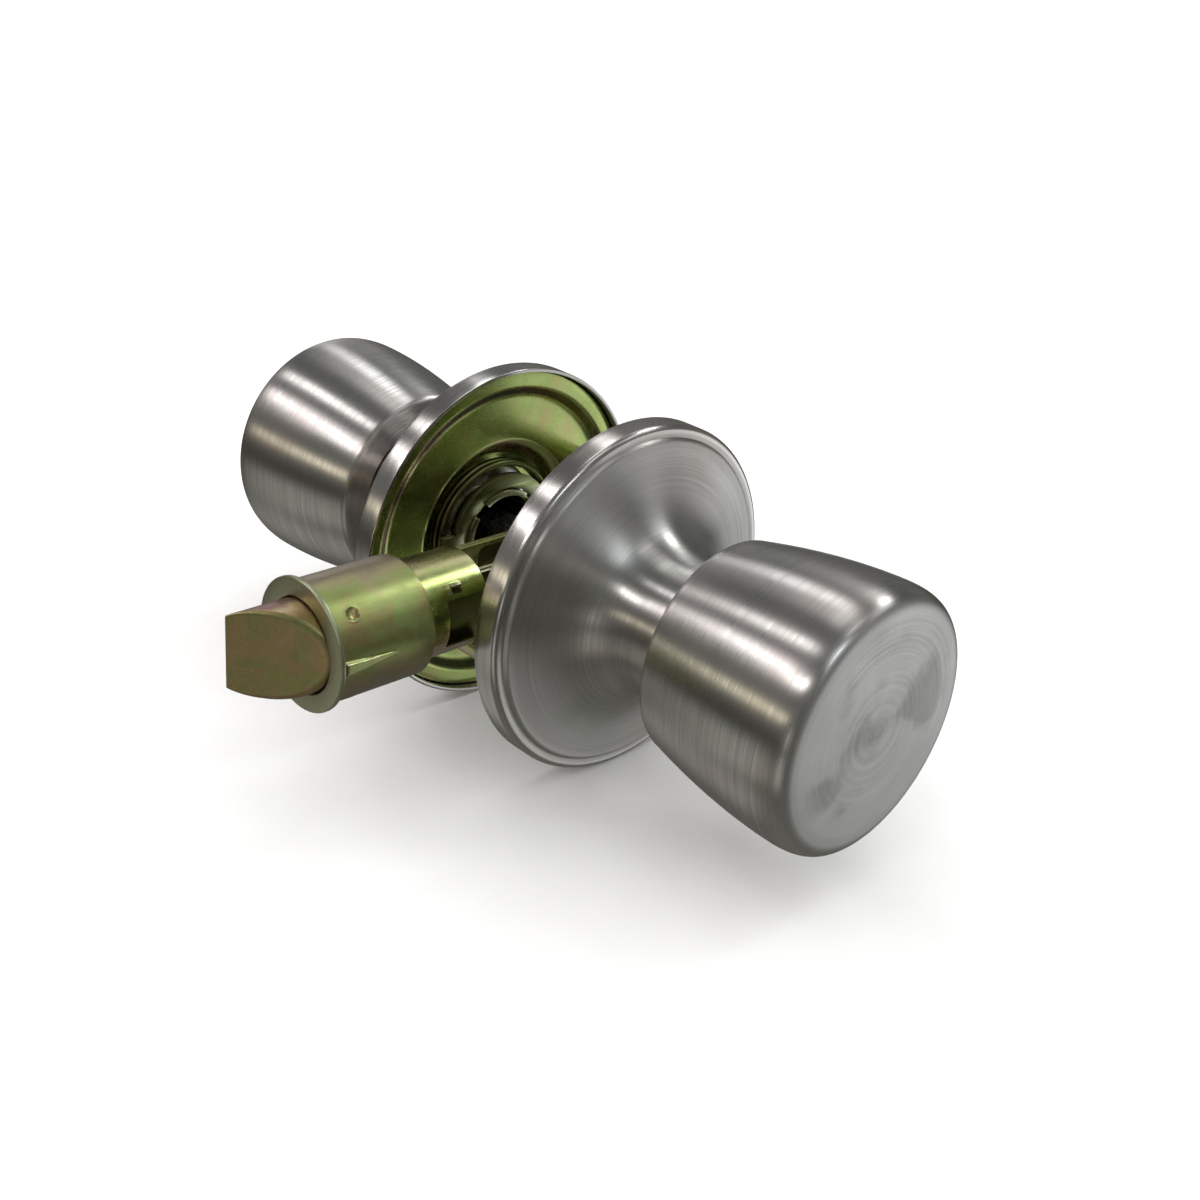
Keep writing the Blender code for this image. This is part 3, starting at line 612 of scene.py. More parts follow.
def ring_points(angle, radius, height):
    """A ring about Z, or one point where it closes on the axis."""
    if np.max(radius) < ON_AXIS:
        return [(0.0, 0.0, height)]
    full = np.ones(len(angle))
    return np.stack([radius * np.cos(angle), radius * np.sin(angle), height * full], axis=1)


def revolve(profile, segments=FINE, warp=None):
    """Mesh of a closed profile of (radius, height) turned about Z. warp may move angles and radii."""
    angle = np.arange(segments) * (2 * math.pi / segments)
    rings = []
    for radius, height in profile:
        turn, ring = angle, np.full(segments, float(radius))
        if warp is not None:
            turn, ring = warp(angle, ring, float(height))
        rings.append(ring_points(turn, ring, float(height)))
    return skin(rings)


def turned(node, profile, axis, material, segments=MEDIUM, ease_by=0.15 * MM):
    return stand_for(piece(node, revolve(rounded(profile, ease_by), segments)), axis, material)


def ring_profile(inner, outer, start, end):
    return [(outer, end), (outer, start), (inner, start), (inner, end)]


def box_mesh(low, high):
    form = bmesh.new()
    bmesh.ops.create_cube(form, size=1.0)
    size = [b - a for a, b in zip(low, high)]
    centre = [(a + b) / 2 for a, b in zip(low, high)]
    move = Matrix.Translation(centre) @ Matrix.Diagonal((*size, 1.0))
    bmesh.ops.transform(form, matrix=move, verts=form.verts)
    return stored(form)


def rod_mesh(radius, start, end, segments=SMALL, matrix=None):
    form = bmesh.new()
    shape = {"cap_ends": True, "segments": segments, "radius1": radius, "radius2": radius}
    bmesh.ops.create_cone(form, depth=end - start, **shape)
    move = (matrix or Matrix()) @ Matrix.Translation((0, 0, (start + end) / 2))
    bmesh.ops.transform(form, matrix=move, verts=form.verts)
    return stored(form)


def plate_mesh(outlines, low, high, matrix=None):
    """Flat plate between two heights from closed outlines; an outline inside another is a hole."""
    curve = bpy.data.curves.new("outline", "CURVE")
    curve.dimensions = "2D"
    curve.fill_mode = "BOTH"
    curve.extrude = (high - low) / 2
    for outline in outlines:
        spline = curve.splines.new("POLY")
        spline.points.add(len(outline) - 1)
        for point, spot in zip(spline.points, outline):
            point.co = (spot[0], spot[1], 0.0, 1.0)
        spline.use_cyclic_u = True
    guide = new_object("guide", curve)
    mesh = evaluated(guide)
    bpy.data.objects.remove(guide)
    form = opened(mesh)
    bmesh.ops.remove_doubles(form, verts=form.verts, dist=MERGE)
    move = (matrix or Matrix()) @ Matrix.Translation((0, 0, (low + high) / 2))
    bmesh.ops.transform(form, matrix=move, verts=form.verts)
    bmesh.ops.recalc_face_normals(form, faces=form.faces)
    return stored(form, mesh)


def arc(centre, radius, start, end, count):
    turn = [math.radians(start + (end - start) * i / (count - 1)) for i in range(count)]
    return [(centre[0] + radius * math.cos(a), centre[1] + radius * math.sin(a)) for a in turn]


def circle(centre, radius, count=SMALL):
    return arc(centre, radius, 0, 360 * (count - 1) / count, count)


def rectangle(x, y):
    return [(x, y), (-x, y), (-x, -y), (x, -y)]


def mirrored(line):
    """The line, then its mirror image across the first axis, run backwards."""
    return line + [(x, -y) for x, y in reversed(line)]


def sweep(points, radius, sides=14):
    """A round wire along points, with domed ends."""
    spots = [Vector(p) for p in points]
    before, after = spots[:1] + spots[:-1], spots[1:] + spots[-1:]
    along = [(b - a).normalized() for a, b in zip(before, after)]
    side = along[0].orthogonal().normalized()
    verts, rings = [], []

    def add_ring(centre, tangent, size):
        nonlocal side
        side = (side - tangent * side.dot(tangent)).normalized()
        other = tangent.cross(side)
        rings.append(list(range(len(verts), len(verts) + sides)))
        for k in range(sides):
            turn = 2 * math.pi * k / sides
            verts.append(centre + (side * math.cos(turn) + other * math.sin(turn)) * size)

    def add_dome(centre, tangent, sign, shares):
        for share in shares:
            out = 0.6 * math.sqrt(1 - share * share)
            add_ring(centre + tangent * radius * (sign * out), tangent, radius * share)

    add_dome(spots[0], along[0], -1, (0.35, 0.75, 0.95))
    for spot, tangent in zip(spots, along):
        add_ring(spot, tangent, radius)
    add_dome(spots[-1], along[-1], 1, (0.95, 0.75, 0.35))
    faces = []
    for a, b in zip(rings, rings[1:]):
        faces += [(a[k], a[(k + 1) % sides], b[(k + 1) % sides], b[k]) for k in range(sides)]
    faces += [tuple(reversed(rings[0])), tuple(rings[-1])]
    return new_mesh(verts, faces)


# ---- one side: rose, plate and knob


def shell_profile(outer, inner, edge):
    """Closed profile of a sheet from its outer and inner lines, its cut edges eased."""

    def marked(line):
        return [(*p[:2], edge if k in (0, len(line) - 1) else 0.0) for k, p in enumerate(line)]

    return rounded(marked(outer) + marked(inner)[::-1], 0.0, steps=3)


# The rose's rim from the trumpet to the corner: radius, and height over the rim's face, in millimetres.
BEADED = (
    (32.0, 0.72), (32.35, 0.66), (32.6, 0.48), (32.75, 0.22), (32.9, 0.05), (33.15, -0.02), (33.5, 0.0)
)
PLAIN = ((32.3, 0.6), (32.9, 0.25), (33.5, 0.0))
SHEET = 0.8 * MM


def rose_line(rim):
    """Outer surface from the neck's end, down the trumpet and over the rim."""
    face, corner = HALF_DOOR + 5.2 * MM, 1.05 * MM
    trumpet = [
        (NECK_RADIUS, HALF_DOOR + 20.0 * MM),
        (NECK_RADIUS, HALF_DOOR + 11.0 * MM),
        (20.0 * MM, HALF_DOOR + 8.0 * MM),
        (31.6 * MM, face + 0.75 * MM),
    ]
    points = [(NECK_RADIUS, NECK_END), (NECK_RADIUS, HALF_DOOR + 25.0 * MM)] + bezier(trumpet, 44)
    points += [(radius * MM, face + height * MM) for radius, height in rim]
    points += arc((ROSE_RADIUS - corner, face - corner), corner, 90, 0, 10)
    return points + [(ROSE_RADIUS, HALF_DOOR)]


def make_rose(prefix, axis):
    profile = shell_profile(rose_line(BEADED), offset_line(rose_line(PLAIN), SHEET), 0.22 * MM)
    made = revolve(spaced(profile, 1.6 * MM))
    stand_for(piece(prefix + "_rose", made), axis, ROSE_STEEL)


def make_knob_shell(prefix, axis):
    """The tulip: a slightly crowned face, a soft edge, a swelling side and a turned-in back lip."""
    widest, back_radius = mm(73.0, 21.0)
    shoulder = (21.6 * MM, KNOB_TOP - 0.3 * MM)
    crown = bezier([(0.0, KNOB_TOP), (9 * MM, KNOB_TOP), (16 * MM, KNOB_TOP - 0.08 * MM), shoulder], 12)
    turn = [(24.1 * MM, KNOB_TOP - 0.42 * MM), (25.1 * MM, KNOB_TOP - 2.0 * MM)]
    corner = bezier([shoulder, *turn, (KNOB_RADIUS, widest)], 16)[1:]
    side = []
    for i in range(1, 30):
        height = widest + (KNOB_BACK + 1.5 * MM - widest) * i / 29
        taper = ((widest - height) / (widest - KNOB_BACK)) ** 1.8
        side.append((KNOB_RADIUS - (KNOB_RADIUS - back_radius) * taper, height))
    end = side[-1][0]
    lip = [(end - 0.16 * MM, KNOB_BACK + 0.35 * MM)]
    lip += [(end - 0.55 * MM, KNOB_BACK), (end - 1.6 * MM, KNOB_BACK)]
    outer = crown + corner + side + bezier([side[-1], *lip], 8)[1:] + [(NECK_RADIUS + 2 * GAP, KNOB_BACK)]
    inner = offset_line(outer, SHEET)
    profile = shell_profile(outer, inner, 0.2 * MM)
    profile[0].x = 0.0
    made = revolve(spaced(profile, 2.0 * MM, closed=False))
    stand_for(piece(prefix + "_knob_shell", made), axis, KNOB_STEEL)


def make_backplate(prefix, axis, up):
    """Stamped plate: outer band, step, wide field and a deep cup with a hole for the drive tube."""
    sheet = 1.0 * MM
    band, field, floor = HALF_DOOR + 1.8 * MM, HALF_DOOR + 3.2 * MM, side_span("near_backplate")[1] - sheet
    line = [
        (PLATE_RADIUS, band),
        (31.0 * MM, band, 0.5 * MM),
        (28.9 * MM, field, 0.9 * MM),
        (19.2 * MM, field, 0.7 * MM),
        (17.9 * MM, field + 0.9 * MM, 0.5 * MM),
        (16.75 * MM, floor - 1.3 * MM, 0.5 * MM),
        (15.5 * MM, floor, 0.9 * MM),
        (13.4 * MM, floor, 0.3 * MM),
        (12.9 * MM, floor - 0.35 * MM, 0.3 * MM),
        (11.9 * MM, floor - 0.35 * MM, 0.3 * MM),
        (11.4 * MM, floor, 0.3 * MM),
        (BORE, floor),
    ]
    shifted = [(*p, *q[2:]) for p, q in zip(offset_line([q[:2] for q in line], sheet), line)]
    outer, inner = (rounded(given, 0.3 * MM, closed=False, steps=6) for given in (line, shifted))
    made = revolve(spaced(shell_profile(outer, inner, 0.2 * MM), 1.4 * MM))
    plate = piece(prefix + "_backplate", made)
    holes = []
    for side in (-1, 1):
        move = Matrix.Translation((side * POST_X, side * up * POST_Z, 0))
        holes.append(rod_mesh(2.4 * MM, HALF_DOOR, floor, 40, move))
    combine(plate, "DIFFERENCE", holes)
    stand_for(plate, axis, CHROMATE_PLATE)


def make_return_spring(prefix, axis, up):
    coil, wire = mm(14.4, 0.7)
    start, end, turns, per_turn = 19.3 * MM, 22.4 * MM, 2, 72
    lead = math.radians(20)
    points = []
    for i in range(turns * per_turn + 1):
        angle = up * (lead + 2 * math.pi * i / per_turn)
        height = start + (end - start) * i / (turns * per_turn)
        points.append((coil * math.cos(angle), coil * math.sin(angle), height))
    leg = [(*points[0][:2], start - 2.2 * MM + 0.22 * MM * k) for k in range(10)]
    tail = [(*points[-1][:2], end + 0.22 * MM * (k + 1)) for k in range(5)]
    spring = piece(prefix + "_return_spring", sweep(leg + points[1:-1] + tail, wire))
    stand_for(spring, axis, SHADED_CHROMATE_SPRING)


def make_spring_driver(prefix, axis):
    start, end = side_span("near_spring_driver")
    ring, ear, half = 12.8 * MM, half_width("near_spring_driver"), 2.2 * MM
    root = math.degrees(math.asin(half / ring))
    outline = [(ear, -half), (ear, half)] + arc((0, 0), ring, root, 180 - root, 49)
    outline += [(-ear, half), (-ear, -half)] + arc((0, 0), ring, 180 + root, 360 - root, 49)
    plate = plate_mesh([outline, circle((0, 0), BORE, 96)], start, end)
    made = piece(prefix + "_spring_driver", plate)
    ease(made, 0.2 * MM)
    stand_for(made, axis, SHADED_CHROMATE_CUP)


def make_retaining_ring(prefix, axis):
    start, end = side_span("near_retaining_ring")
    hole = 11.3 * MM
    outline = arc((0, 0), 12.8 * MM, 25, 335, 80) + arc((0, 0), 9.15 * MM, 332, 28, 80)
    made = piece(prefix + "_retaining_ring", plate_mesh([outline], start, end))
    holes = []
    for turn in (math.radians(32), math.radians(328)):
        spot = Matrix.Translation((hole * math.cos(turn), hole * math.sin(turn), 0))
        holes.append(rod_mesh(0.6 * MM, start - MM, end + MM, 24, spot))
    combine(made, "DIFFERENCE", holes)
    ease(made, 0.14 * MM)
    stand_for(made, axis, STEEL)


def make_drive_tube(prefix, axis):
    """Shank with the ring's groove; its inner end is castellated where the driver is staked on."""
    start, end = side_span("near_drive_tube")
    bore, groove = mm(8.3, 8.9)
    profile = [
        (TUBE_RADIUS, end),
        (TUBE_RADIUS, 23.2 * MM),
        (groove, 23.2 * MM),
        (groove, 21.6 * MM),
        (TUBE_RADIUS, 21.6 * MM),
        (TUBE_RADIUS, start),
        (bore, start),
        (bore, end),
    ]
    tube = piece(prefix + "_drive_tube", revolve(profile, 96))
    notches = []
    for turn in (45, 135):
        notch = box_mesh((-12 * MM, -1.6 * MM, start - MM), (12 * MM, 1.6 * MM, start + 1.5 * MM))
        notch.transform(Matrix.Rotation(math.radians(turn), 4, "Z"))
        notches.append(notch)
    combine(tube, "DIFFERENCE", notches)
    ease(tube, 0.13 * MM)
    stand_for(tube, axis, SHADED_CHROMATE_CUP)


def make_knob_core(prefix, axis):
    back, end = side_span("near_knob_core")
    rim, front = half_width("near_knob_core"), back + 1.2 * MM
    lip, hub, sheet = mm(52.0, 11.5, 0.9)
    profile = [
        (rim, lip),
        (rim, back, 0.9 * MM),
        (BORE, back, 0.5 * MM),
        (BORE, end),
        (hub, end),
        (hub, front, 0.5 * MM),
        (rim - sheet, front, 0.4 * MM),
        (rim - sheet, lip),
    ]
    turned(prefix + "_knob_core", profile, axis, CHROMATE)


SQUARE_HOLE = (3.475 * MM, 3.475 * MM)


def make_side(prefix, axis, up):
    make_rose(prefix, axis)
    make_knob_shell(prefix, axis)
    make_spring_driver(prefix, axis)
    make_retaining_ring(prefix, axis)
    make_knob_core(prefix, axis)
    make_drive_tube(prefix, axis)
    make_backplate(prefix, axis, up)
    make_return_spring(prefix, axis, up)
    washer = ring_profile(BORE, 12.8 * MM, *side_span("near_thrust_washer"))
    turned(prefix + "_thrust_washer", washer, axis, STEEL)
    bush = ring_profile(BORE, half_width("near_neck_bush"), *side_span("near_neck_bush"))
    turned(prefix + "_neck_bush", bush, axis, NYLON, ease_by=0.35 * MM)
    outlines = [circle((0, 0), half_width("near_spindle_socket")), rectangle(*SQUARE_HOLE)]
    socket = piece(prefix + "_spindle_socket", plate_mesh(outlines, *side_span("near_spindle_socket")))
    ease(socket, 0.25 * MM)
    stand_for(socket, axis, STEEL)


# ---- through the door


def make_screw(node, side):
    """Pan-head screw with a cross recess."""
    seat, shank, root = HALF_DOOR + 4.5 * MM, 2.0 * MM, 1.72 * MM
    head, top = 3.2 * MM, seat + 1.9 * MM
    profile = [(0.0, top), (head * 0.6, top - 0.15 * MM, 0.8 * MM), (head, seat + 0.7 * MM, 0.7 * MM)]
    profile += [(head, seat), (shank, seat)]
    height, pitch = seat - 5.0 * MM, 0.8 * MM
    while height > 1.2 * MM:
        crest = [(shank, height, 0.0), (shank, height - 0.12 * MM, 0.0)]
        profile += crest + [(root, height - 0.4 * MM, 0.05 * MM)]
        height -= pitch
    profile += [(shank - 0.4 * MM, 0.0), (0.0, 0.0)]
    screw = piece(node, revolve(rounded(profile, 0.12 * MM, steps=3), 48))
    low, high, slots = top - 0.9 * MM, top + MM, ((2.0 * MM, 0.35 * MM), (0.35 * MM, 2.0 * MM))
    combine(screw, "DIFFERENCE", [box_mesh((-a, -b, low), (a, b, high)) for a, b in slots])
    stand_for(screw, NEAR @ Matrix.Translation((side * POST_X, side * POST_Z, 0)), STEEL)


def make_post(node, side):
    """Tapped post riveted to the far plate."""
    post_radius, near_end, bore, bore_end = mm(3.0, -9.0, 2.3, 4.0)
    shoulder, rivet = HALF_DOOR + 2.9 * MM, HALF_DOOR + 4.5 * MM
    profile = [
        (0.0, rivet + 0.8 * MM),
        (2.6 * MM, rivet + 0.75 * MM, 0.7 * MM),
        (3.2 * MM, rivet),
        (2.1 * MM, rivet),
        (2.1 * MM, shoulder),
        (post_radius, shoulder),
        (post_radius, near_end, 0.35 * MM),
        (bore, near_end, 0.3 * MM),
        (bore, bore_end),
        (0.0, bore_end),
    ]
    post = piece(node, revolve(rounded(profile, 0.15 * MM), SMALL))
    stand_for(post, FAR @ Matrix.Translation((side * POST_X, -side * POST_Z, 0)), CHROMATE)


def make_spindle():
    low, high = (end - Vector((SPINDLE_X, 0, 0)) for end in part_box("spindle"))
    spindle = piece("spindle", box_mesh((low.x, low.z, low.y), (high.x, high.z, high.y)))
    ease(spindle, 0.42 * MM, 3)
    stand_for(spindle, NEAR, STEEL)


# ---- latch

# Turns a plate drawn in (reach, up) into the latch axes, with its thickness along local Y.
ON_EDGE = Matrix(((0, 1, 0, 0), (0, 0, 1, 0), (1, 0, 0, 0), (0, 0, 0, 1)))


def make_collar():
    """Flange with a rolled edge, seated on the sleeve's end."""
    spigot, case = SLEEVE_RADIUS - 0.8 * MM - GAP, CASE_RADIUS + GAP
    recess = SLEEVE_RADIUS + 0.2 * MM
    profile = [
        (COLLAR_RADIUS, COLLAR_FACE, 0.32 * MM),
        (COLLAR_RADIUS, SLEEVE_FRONT, 0.2 * MM),
        (recess, SLEEVE_FRONT, 0.1 * MM),
        (recess, SLEEVE_FRONT + GAP, 0.05 * MM),
        (spigot, SLEEVE_FRONT + GAP, 0.05 * MM),
        (spigot, SLEEVE_FRONT - 4.0 * MM),
        (case, SLEEVE_FRONT - 4.0 * MM),
        (case, SLEEVE_FRONT, 0.05 * MM),
        (CASE_RADIUS - 0.6 * MM, SLEEVE_FRONT, 0.1 * MM),
        (CASE_RADIUS - 0.6 * MM, COLLAR_FACE, 0.3 * MM),
    ]
    turned("latch_collar", profile, LATCH, CHROMATE_COLLAR, FINE)


def make_sleeve():
    """Rolled outer sleeve with a wedge rib at each side and four staked dimples."""
    inner, dent, depth = SLEEVE_RADIUS - 0.8 * MM, 1.25 * MM, 0.42 * MM
    rib_start, rib_end, rib_half = SLEEVE_FRONT - 11.5 * MM, SLEEVE_FRONT - 0.5 * MM, 1.3 * MM
    reach = 2.4 * rib_half

    def warp(angle, ring, height):
        share = min(max((height - rib_start) / (rib_end - rib_start), 0), 1)
        if ring[0] < SLEEVE_RADIUS - 0.3 * MM or share == 0:
            return angle, ring
        moved, turned_by = ring.copy(), angle.copy()
        for side in (90, 270):
            away = ((angle - math.radians(side) + math.pi) % (2 * math.pi) - math.pi) * SLEEVE_RADIUS
            here = (0.25 + 0.75 * share) * rib_half
            narrow = np.interp(np.abs(away), (0, rib_half, reach), (0, here, reach))
            turned_by += (np.sign(away) * narrow - away) / SLEEVE_RADIUS * (np.abs(away) < reach)
            wall = np.clip((rib_half - np.abs(away)) / (0.3 * rib_half), 0, 1)
            rise = share**0.8 * 0.75 * MM
            if height > rib_end:
                rise *= max(0.0, 1 - (height - rib_end) / (0.3 * MM))
            moved += rise * wall * wall * (3 - 2 * wall)
        for turn in (45, 135, 225, 315):
            away = ((angle - math.radians(turn) + math.pi) % (2 * math.pi) - math.pi) * SLEEVE_RADIUS
            near = (away**2 + (height - (SLEEVE_FRONT - 4.2 * MM)) ** 2) / dent**2
            moved -= depth * np.clip(1 - near, 0, 1) ** 0.7
            moved += 0.05 * MM * np.exp(-((np.sqrt(near) - 1.12) ** 2) / 0.012)
        return turned_by, moved

    profile = rounded(ring_profile(inner, SLEEVE_RADIUS, SLEEVE_REAR, SLEEVE_FRONT), 0.2 * MM)
    long_side = spaced(profile, 0.28 * MM)
    kept = [p for k, p in enumerate(long_side) if abs(p.x - inner) > 1e-6 or k % 6 == 0]
    sleeve = piece("latch_sleeve", revolve(kept, 480, warp))
    stand_for(sleeve, LATCH, CHROMATE_SLEEVE)


def make_case():
    """Inner barrel with a lapped seam, and a cutaway and a lanced tab at both sides of its rear end."""
    bore = CASE_RADIUS - 0.6 * MM

    def warp(angle, ring, height):
        if ring[0] < CASE_RADIUS - 0.2 * MM or height > SLEEVE_REAR + 1.0 * MM:
            return angle, ring
        away = ((angle - math.radians(28) + math.pi) % (2 * math.pi) - math.pi) * CASE_RADIUS
        groove = np.clip(1 - (away / (0.38 * MM)) ** 2, 0, 1) * 0.34 * MM
        lip = 0.16 * MM * np.exp(-((away + 0.75 * MM) ** 2) / (0.35 * MM) ** 2)
        return angle, ring - groove + lip

    profile = spaced(rounded(ring_profile(bore, CASE_RADIUS, CASE_REAR, CASE_FRONT), 0.12 * MM), 1.6 * MM)
    case = piece("latch_case", revolve(profile, 288, warp))
    half, front = mm(4.7, 35.5)
    cuts = [box_mesh((-half, -20 * MM, CASE_REAR - MM), (half, 20 * MM, front))]
    tabs = []
    for turn in (-47, 133):
        spin = Matrix.Rotation(math.radians(turn), 4, "Z")
        low, high = (CASE_RADIUS - 2 * MM, -1.3 * MM, 31.6 * MM), (CASE_RADIUS + MM, 0.7 * MM, 33.8 * MM)
        window = box_mesh(low, high)
        window.transform(spin)
        cuts.append(window)
        tab = box_mesh((-0.26 * MM, -0.95 * MM, -1.25 * MM), (0.26 * MM, 0.3 * MM, 1.15 * MM))
        lean = Matrix.Translation((CASE_RADIUS - 0.3 * MM, 0.7 * MM, 32.7 * MM))
        lean = lean @ Matrix.Rotation(math.radians(34), 4, "Z")
        tab.transform(spin @ lean)
        tabs.append(tab)
    combine(case, "DIFFERENCE", cuts)
    combine(case, "UNION", tabs)
    ease(case, 0.1 * MM, 2, 40)
    stand_for(case, LATCH, CHROMATE_CASE)


def make_frame():
    """Bent strap: the web seats the spring and the two sides carry the hub."""
    barrel, lobe, half, tongue = 6.3 * MM, 9.6 * MM, 6.95 * MM, (-12.5 * MM, 0.0)
    web_front, inner, outer = mm(40.5, 5.0, 5.8)
    fork = CASE_REAR - GAP
    back = arc((0, 0), lobe, math.degrees(math.asin(half / lobe)), 150, 26)
    back += arc(tongue, 4.0 * MM, 110, 170, 10)
    outline = [(web_front, barrel), (fork, barrel)] + mirrored([(fork, half)] + back)
    outline[-1:] = [(17.0 * MM, -half), (18.6 * MM, -barrel), (web_front, -barrel)]
    outlines = [outline, circle((0, 0), 6.1 * MM), circle(tongue, 1.9 * MM, 32)]
    web_lines = [rectangle(6.0 * MM, outer - 0.2 * MM), circle((0, 0), 2.5 * MM, 32)]
    web = plate_mesh(web_lines, 39.5 * MM, web_front - 0.1 * MM)
    made = piece("latch_frame", web)
    sides = [plate_mesh(outlines, low, high, ON_EDGE) for low, high in ((-outer, -inner), (inner, outer))]
    combine(made, "UNION", sides)
    ease(made, 0.12 * MM)
    stand_for(made, LATCH, SHADED_CHROMATE_FRAME)


def make_frame_rivet():
    across = LATCH @ Matrix.Translation((0, 0, -12.5 * MM)) @ Matrix.Rotation(math.radians(-90), 4, "X")
    top, shank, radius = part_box("latch_frame_rivet")[1].y, 1.6 * MM, 2.6 * MM
    head = top - 0.8 * MM
    profile = [(0.0, top), (2.0 * MM, top - 0.05 * MM, 0.5 * MM), (radius, head + 0.1 * MM), (radius, head)]
    profile.append((shank, head))
    other_end = [(p[0], -p[1], *p[2:]) for p in reversed(profile)]
    turned("latch_frame_rivet", profile + other_end, across, STEEL, SMALL, 0.1 * MM)
    spacer = ring_profile(1.9 * MM, 3.0 * MM, -4.7 * MM, 4.7 * MM)
    turned("latch_frame_spacer", spacer, across, STEEL, SMALL)


def make_bolt():
    """Round bolt: a bevelled nose with rubbed edges, a flat on the locking side and a spring pocket."""
    flat_y, slope = 5.0 * MM, 0.917
    foot = COLLAR_FACE - 0.6 * MM
    corner = math.degrees(math.asin(flat_y / BOLT_RADIUS))
    outline = arc((0, 0), BOLT_RADIUS, 180 - corner, 360 + corner, 150)
    half = outline[0][0]
    outline += [(x, flat_y) for x in np.linspace(-half, half, 34)[1:-1]]
    outline = np.array(outline)
    ease_by = (0.40 + 0.75 * np.clip((4.4 * MM - outline[:, 1]) / (4 * MM), 0, 1)) * MM

    def nose_ring(scale, drop):
        x, y = outline[:, 0] * scale, outline[:, 1] * scale
        return np.stack([x, y, BOLT_TIP - slope * (flat_y - y) - drop], axis=1)

    rings = [[(0.0, 0.0, BOLT_TIP - slope * flat_y)]]
    rings += [nose_ring(share * (1 - ease_by / BOLT_RADIUS), 0.0) for share in (0.25, 0.5, 0.75, 0.9)]
    for turn in np.radians(np.linspace(0, 90, 13)):
        inset = ease_by * (1 - math.sin(turn))
        rings.append(nose_ring(1 - inset / BOLT_RADIUS, ease_by * (1 - math.cos(turn))))
    rim = rings[-1]
    for share in (0.3, 0.65, 1.0):
        ring = rim.copy()
        ring[:, 2] += (foot - rim[:, 2]) * share
        rings.append(ring)
    pocket, seat, drill, end = mm(4.8, 60.0, 2.5, 65.8)
    body = [(BOLT_RADIUS, foot - 0.5 * MM), (BOLT_RADIUS, BOLT_REAR, 0.5 * MM)]
    body += [(pocket, BOLT_REAR, 0.3 * MM), (pocket, seat), (drill, seat), (drill, end), (0.0, end)]
    angle = np.unwrap(np.arctan2(outline[:, 1], outline[:, 0]))
    for radius, height in rounded(body, 0.1 * MM, closed=False):
        rings.append(ring_points(angle, radius, height))
    bolt = piece("latch_bolt", skin(rings))
    stand_for(bolt, LATCH, CHROMATE_BOLT)


def make_tail_rod():
    end, front = latch_span("latch_tail_rod")
    rod, neck, head, neck_front, neck_rear = mm(2.2, 1.5, 2.6, 39.5, 37.9)
    profile = [(0.0, front), (rod, front, 0.4 * MM), (rod, neck_front), (neck, neck_front)]
    profile += [(neck, neck_rear), (head, neck_rear), (head, end, 0.4 * MM), (0.0, end)]
    turned("latch_tail_rod", profile, LATCH, CHROMATE, SMALL)


def make_retractor():
    """Forked rails joined by a plate in front and by claws above and below the hub."""
    rear, front = latch_span("latch_retractor")
    plate_rear, claw_face, top = 38.2 * MM, 4.5 * MM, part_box("latch_retractor")[1].z
    slot_end, slot_half, low_half, high_half = mm(17.9, 6.2, 7.0, 8.3)
    bend = arc((slot_end - 1.5 * MM, slot_half - 1.5 * MM), 1.5 * MM, 0, 90, 7)
    upper = bend + [(rear, slot_half), (rear, high_half), (8.0 * MM, high_half)]
    outline = mirrored(upper + [(9.5 * MM, low_half), (front, low_half)])
    inner, outer = mm(4.0, 4.7)
    half = outer - 0.2 * MM
    web_lines = [rectangle(6.8 * MM, half), circle((0, 0), 1.8 * MM, 32)]
    web = plate_mesh(web_lines, plate_rear, front - 0.1 * MM)
    made = piece("latch_retractor", web)
    joined = [plate_mesh([outline], low, high, ON_EDGE) for low, high in ((-outer, -inner), (inner, outer))]
    for sign in (1, -1):
        ends = sorted((sign * 6.5 * MM, sign * top))
        joined.append(box_mesh((ends[0], -half, rear + 0.1 * MM), (ends[1], half, claw_face)))
    combine(made, "UNION", joined)
    ease(made, 0.12 * MM)
    stand_for(made, LATCH, CHROMATE)


def make_hub():
    """Square-holed hub whose two arms stand against the retractor's claws."""
    radius, arm, tip_radius, lean = 5.8 * MM, 10.3 * MM, 1.0 * MM, math.asin(11.5 / 20.6)
    tip = (-arm * math.sin(lean), arm * math.cos(lean))
    root = math.degrees(math.acos((tip[0] + tip_radius) / radius))
    behind = math.radians(172)
    upper = arc((0, 0), radius, 0, root, 32) + arc(tip, tip_radius, 0, 180, 17)
    upper += [(radius * math.cos(behind), radius * math.sin(behind))]
    outline = mirrored(upper)[:-1]
    hub = piece("latch_hub", plate_mesh([outline], -3.4 * MM, 3.4 * MM))
    low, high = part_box("latch_hub")
    combine(hub, "UNION", [rod_mesh(radius - 0.05 * MM, low.y, high.y, 72)])
    half, deep = SQUARE_HOLE[0], 12 * MM
    combine(hub, "DIFFERENCE", [box_mesh((-half, -half, -deep), (half, half, deep))])
    ease(hub, 0.16 * MM)
    stand_for(hub, NEAR, CHROMATE)


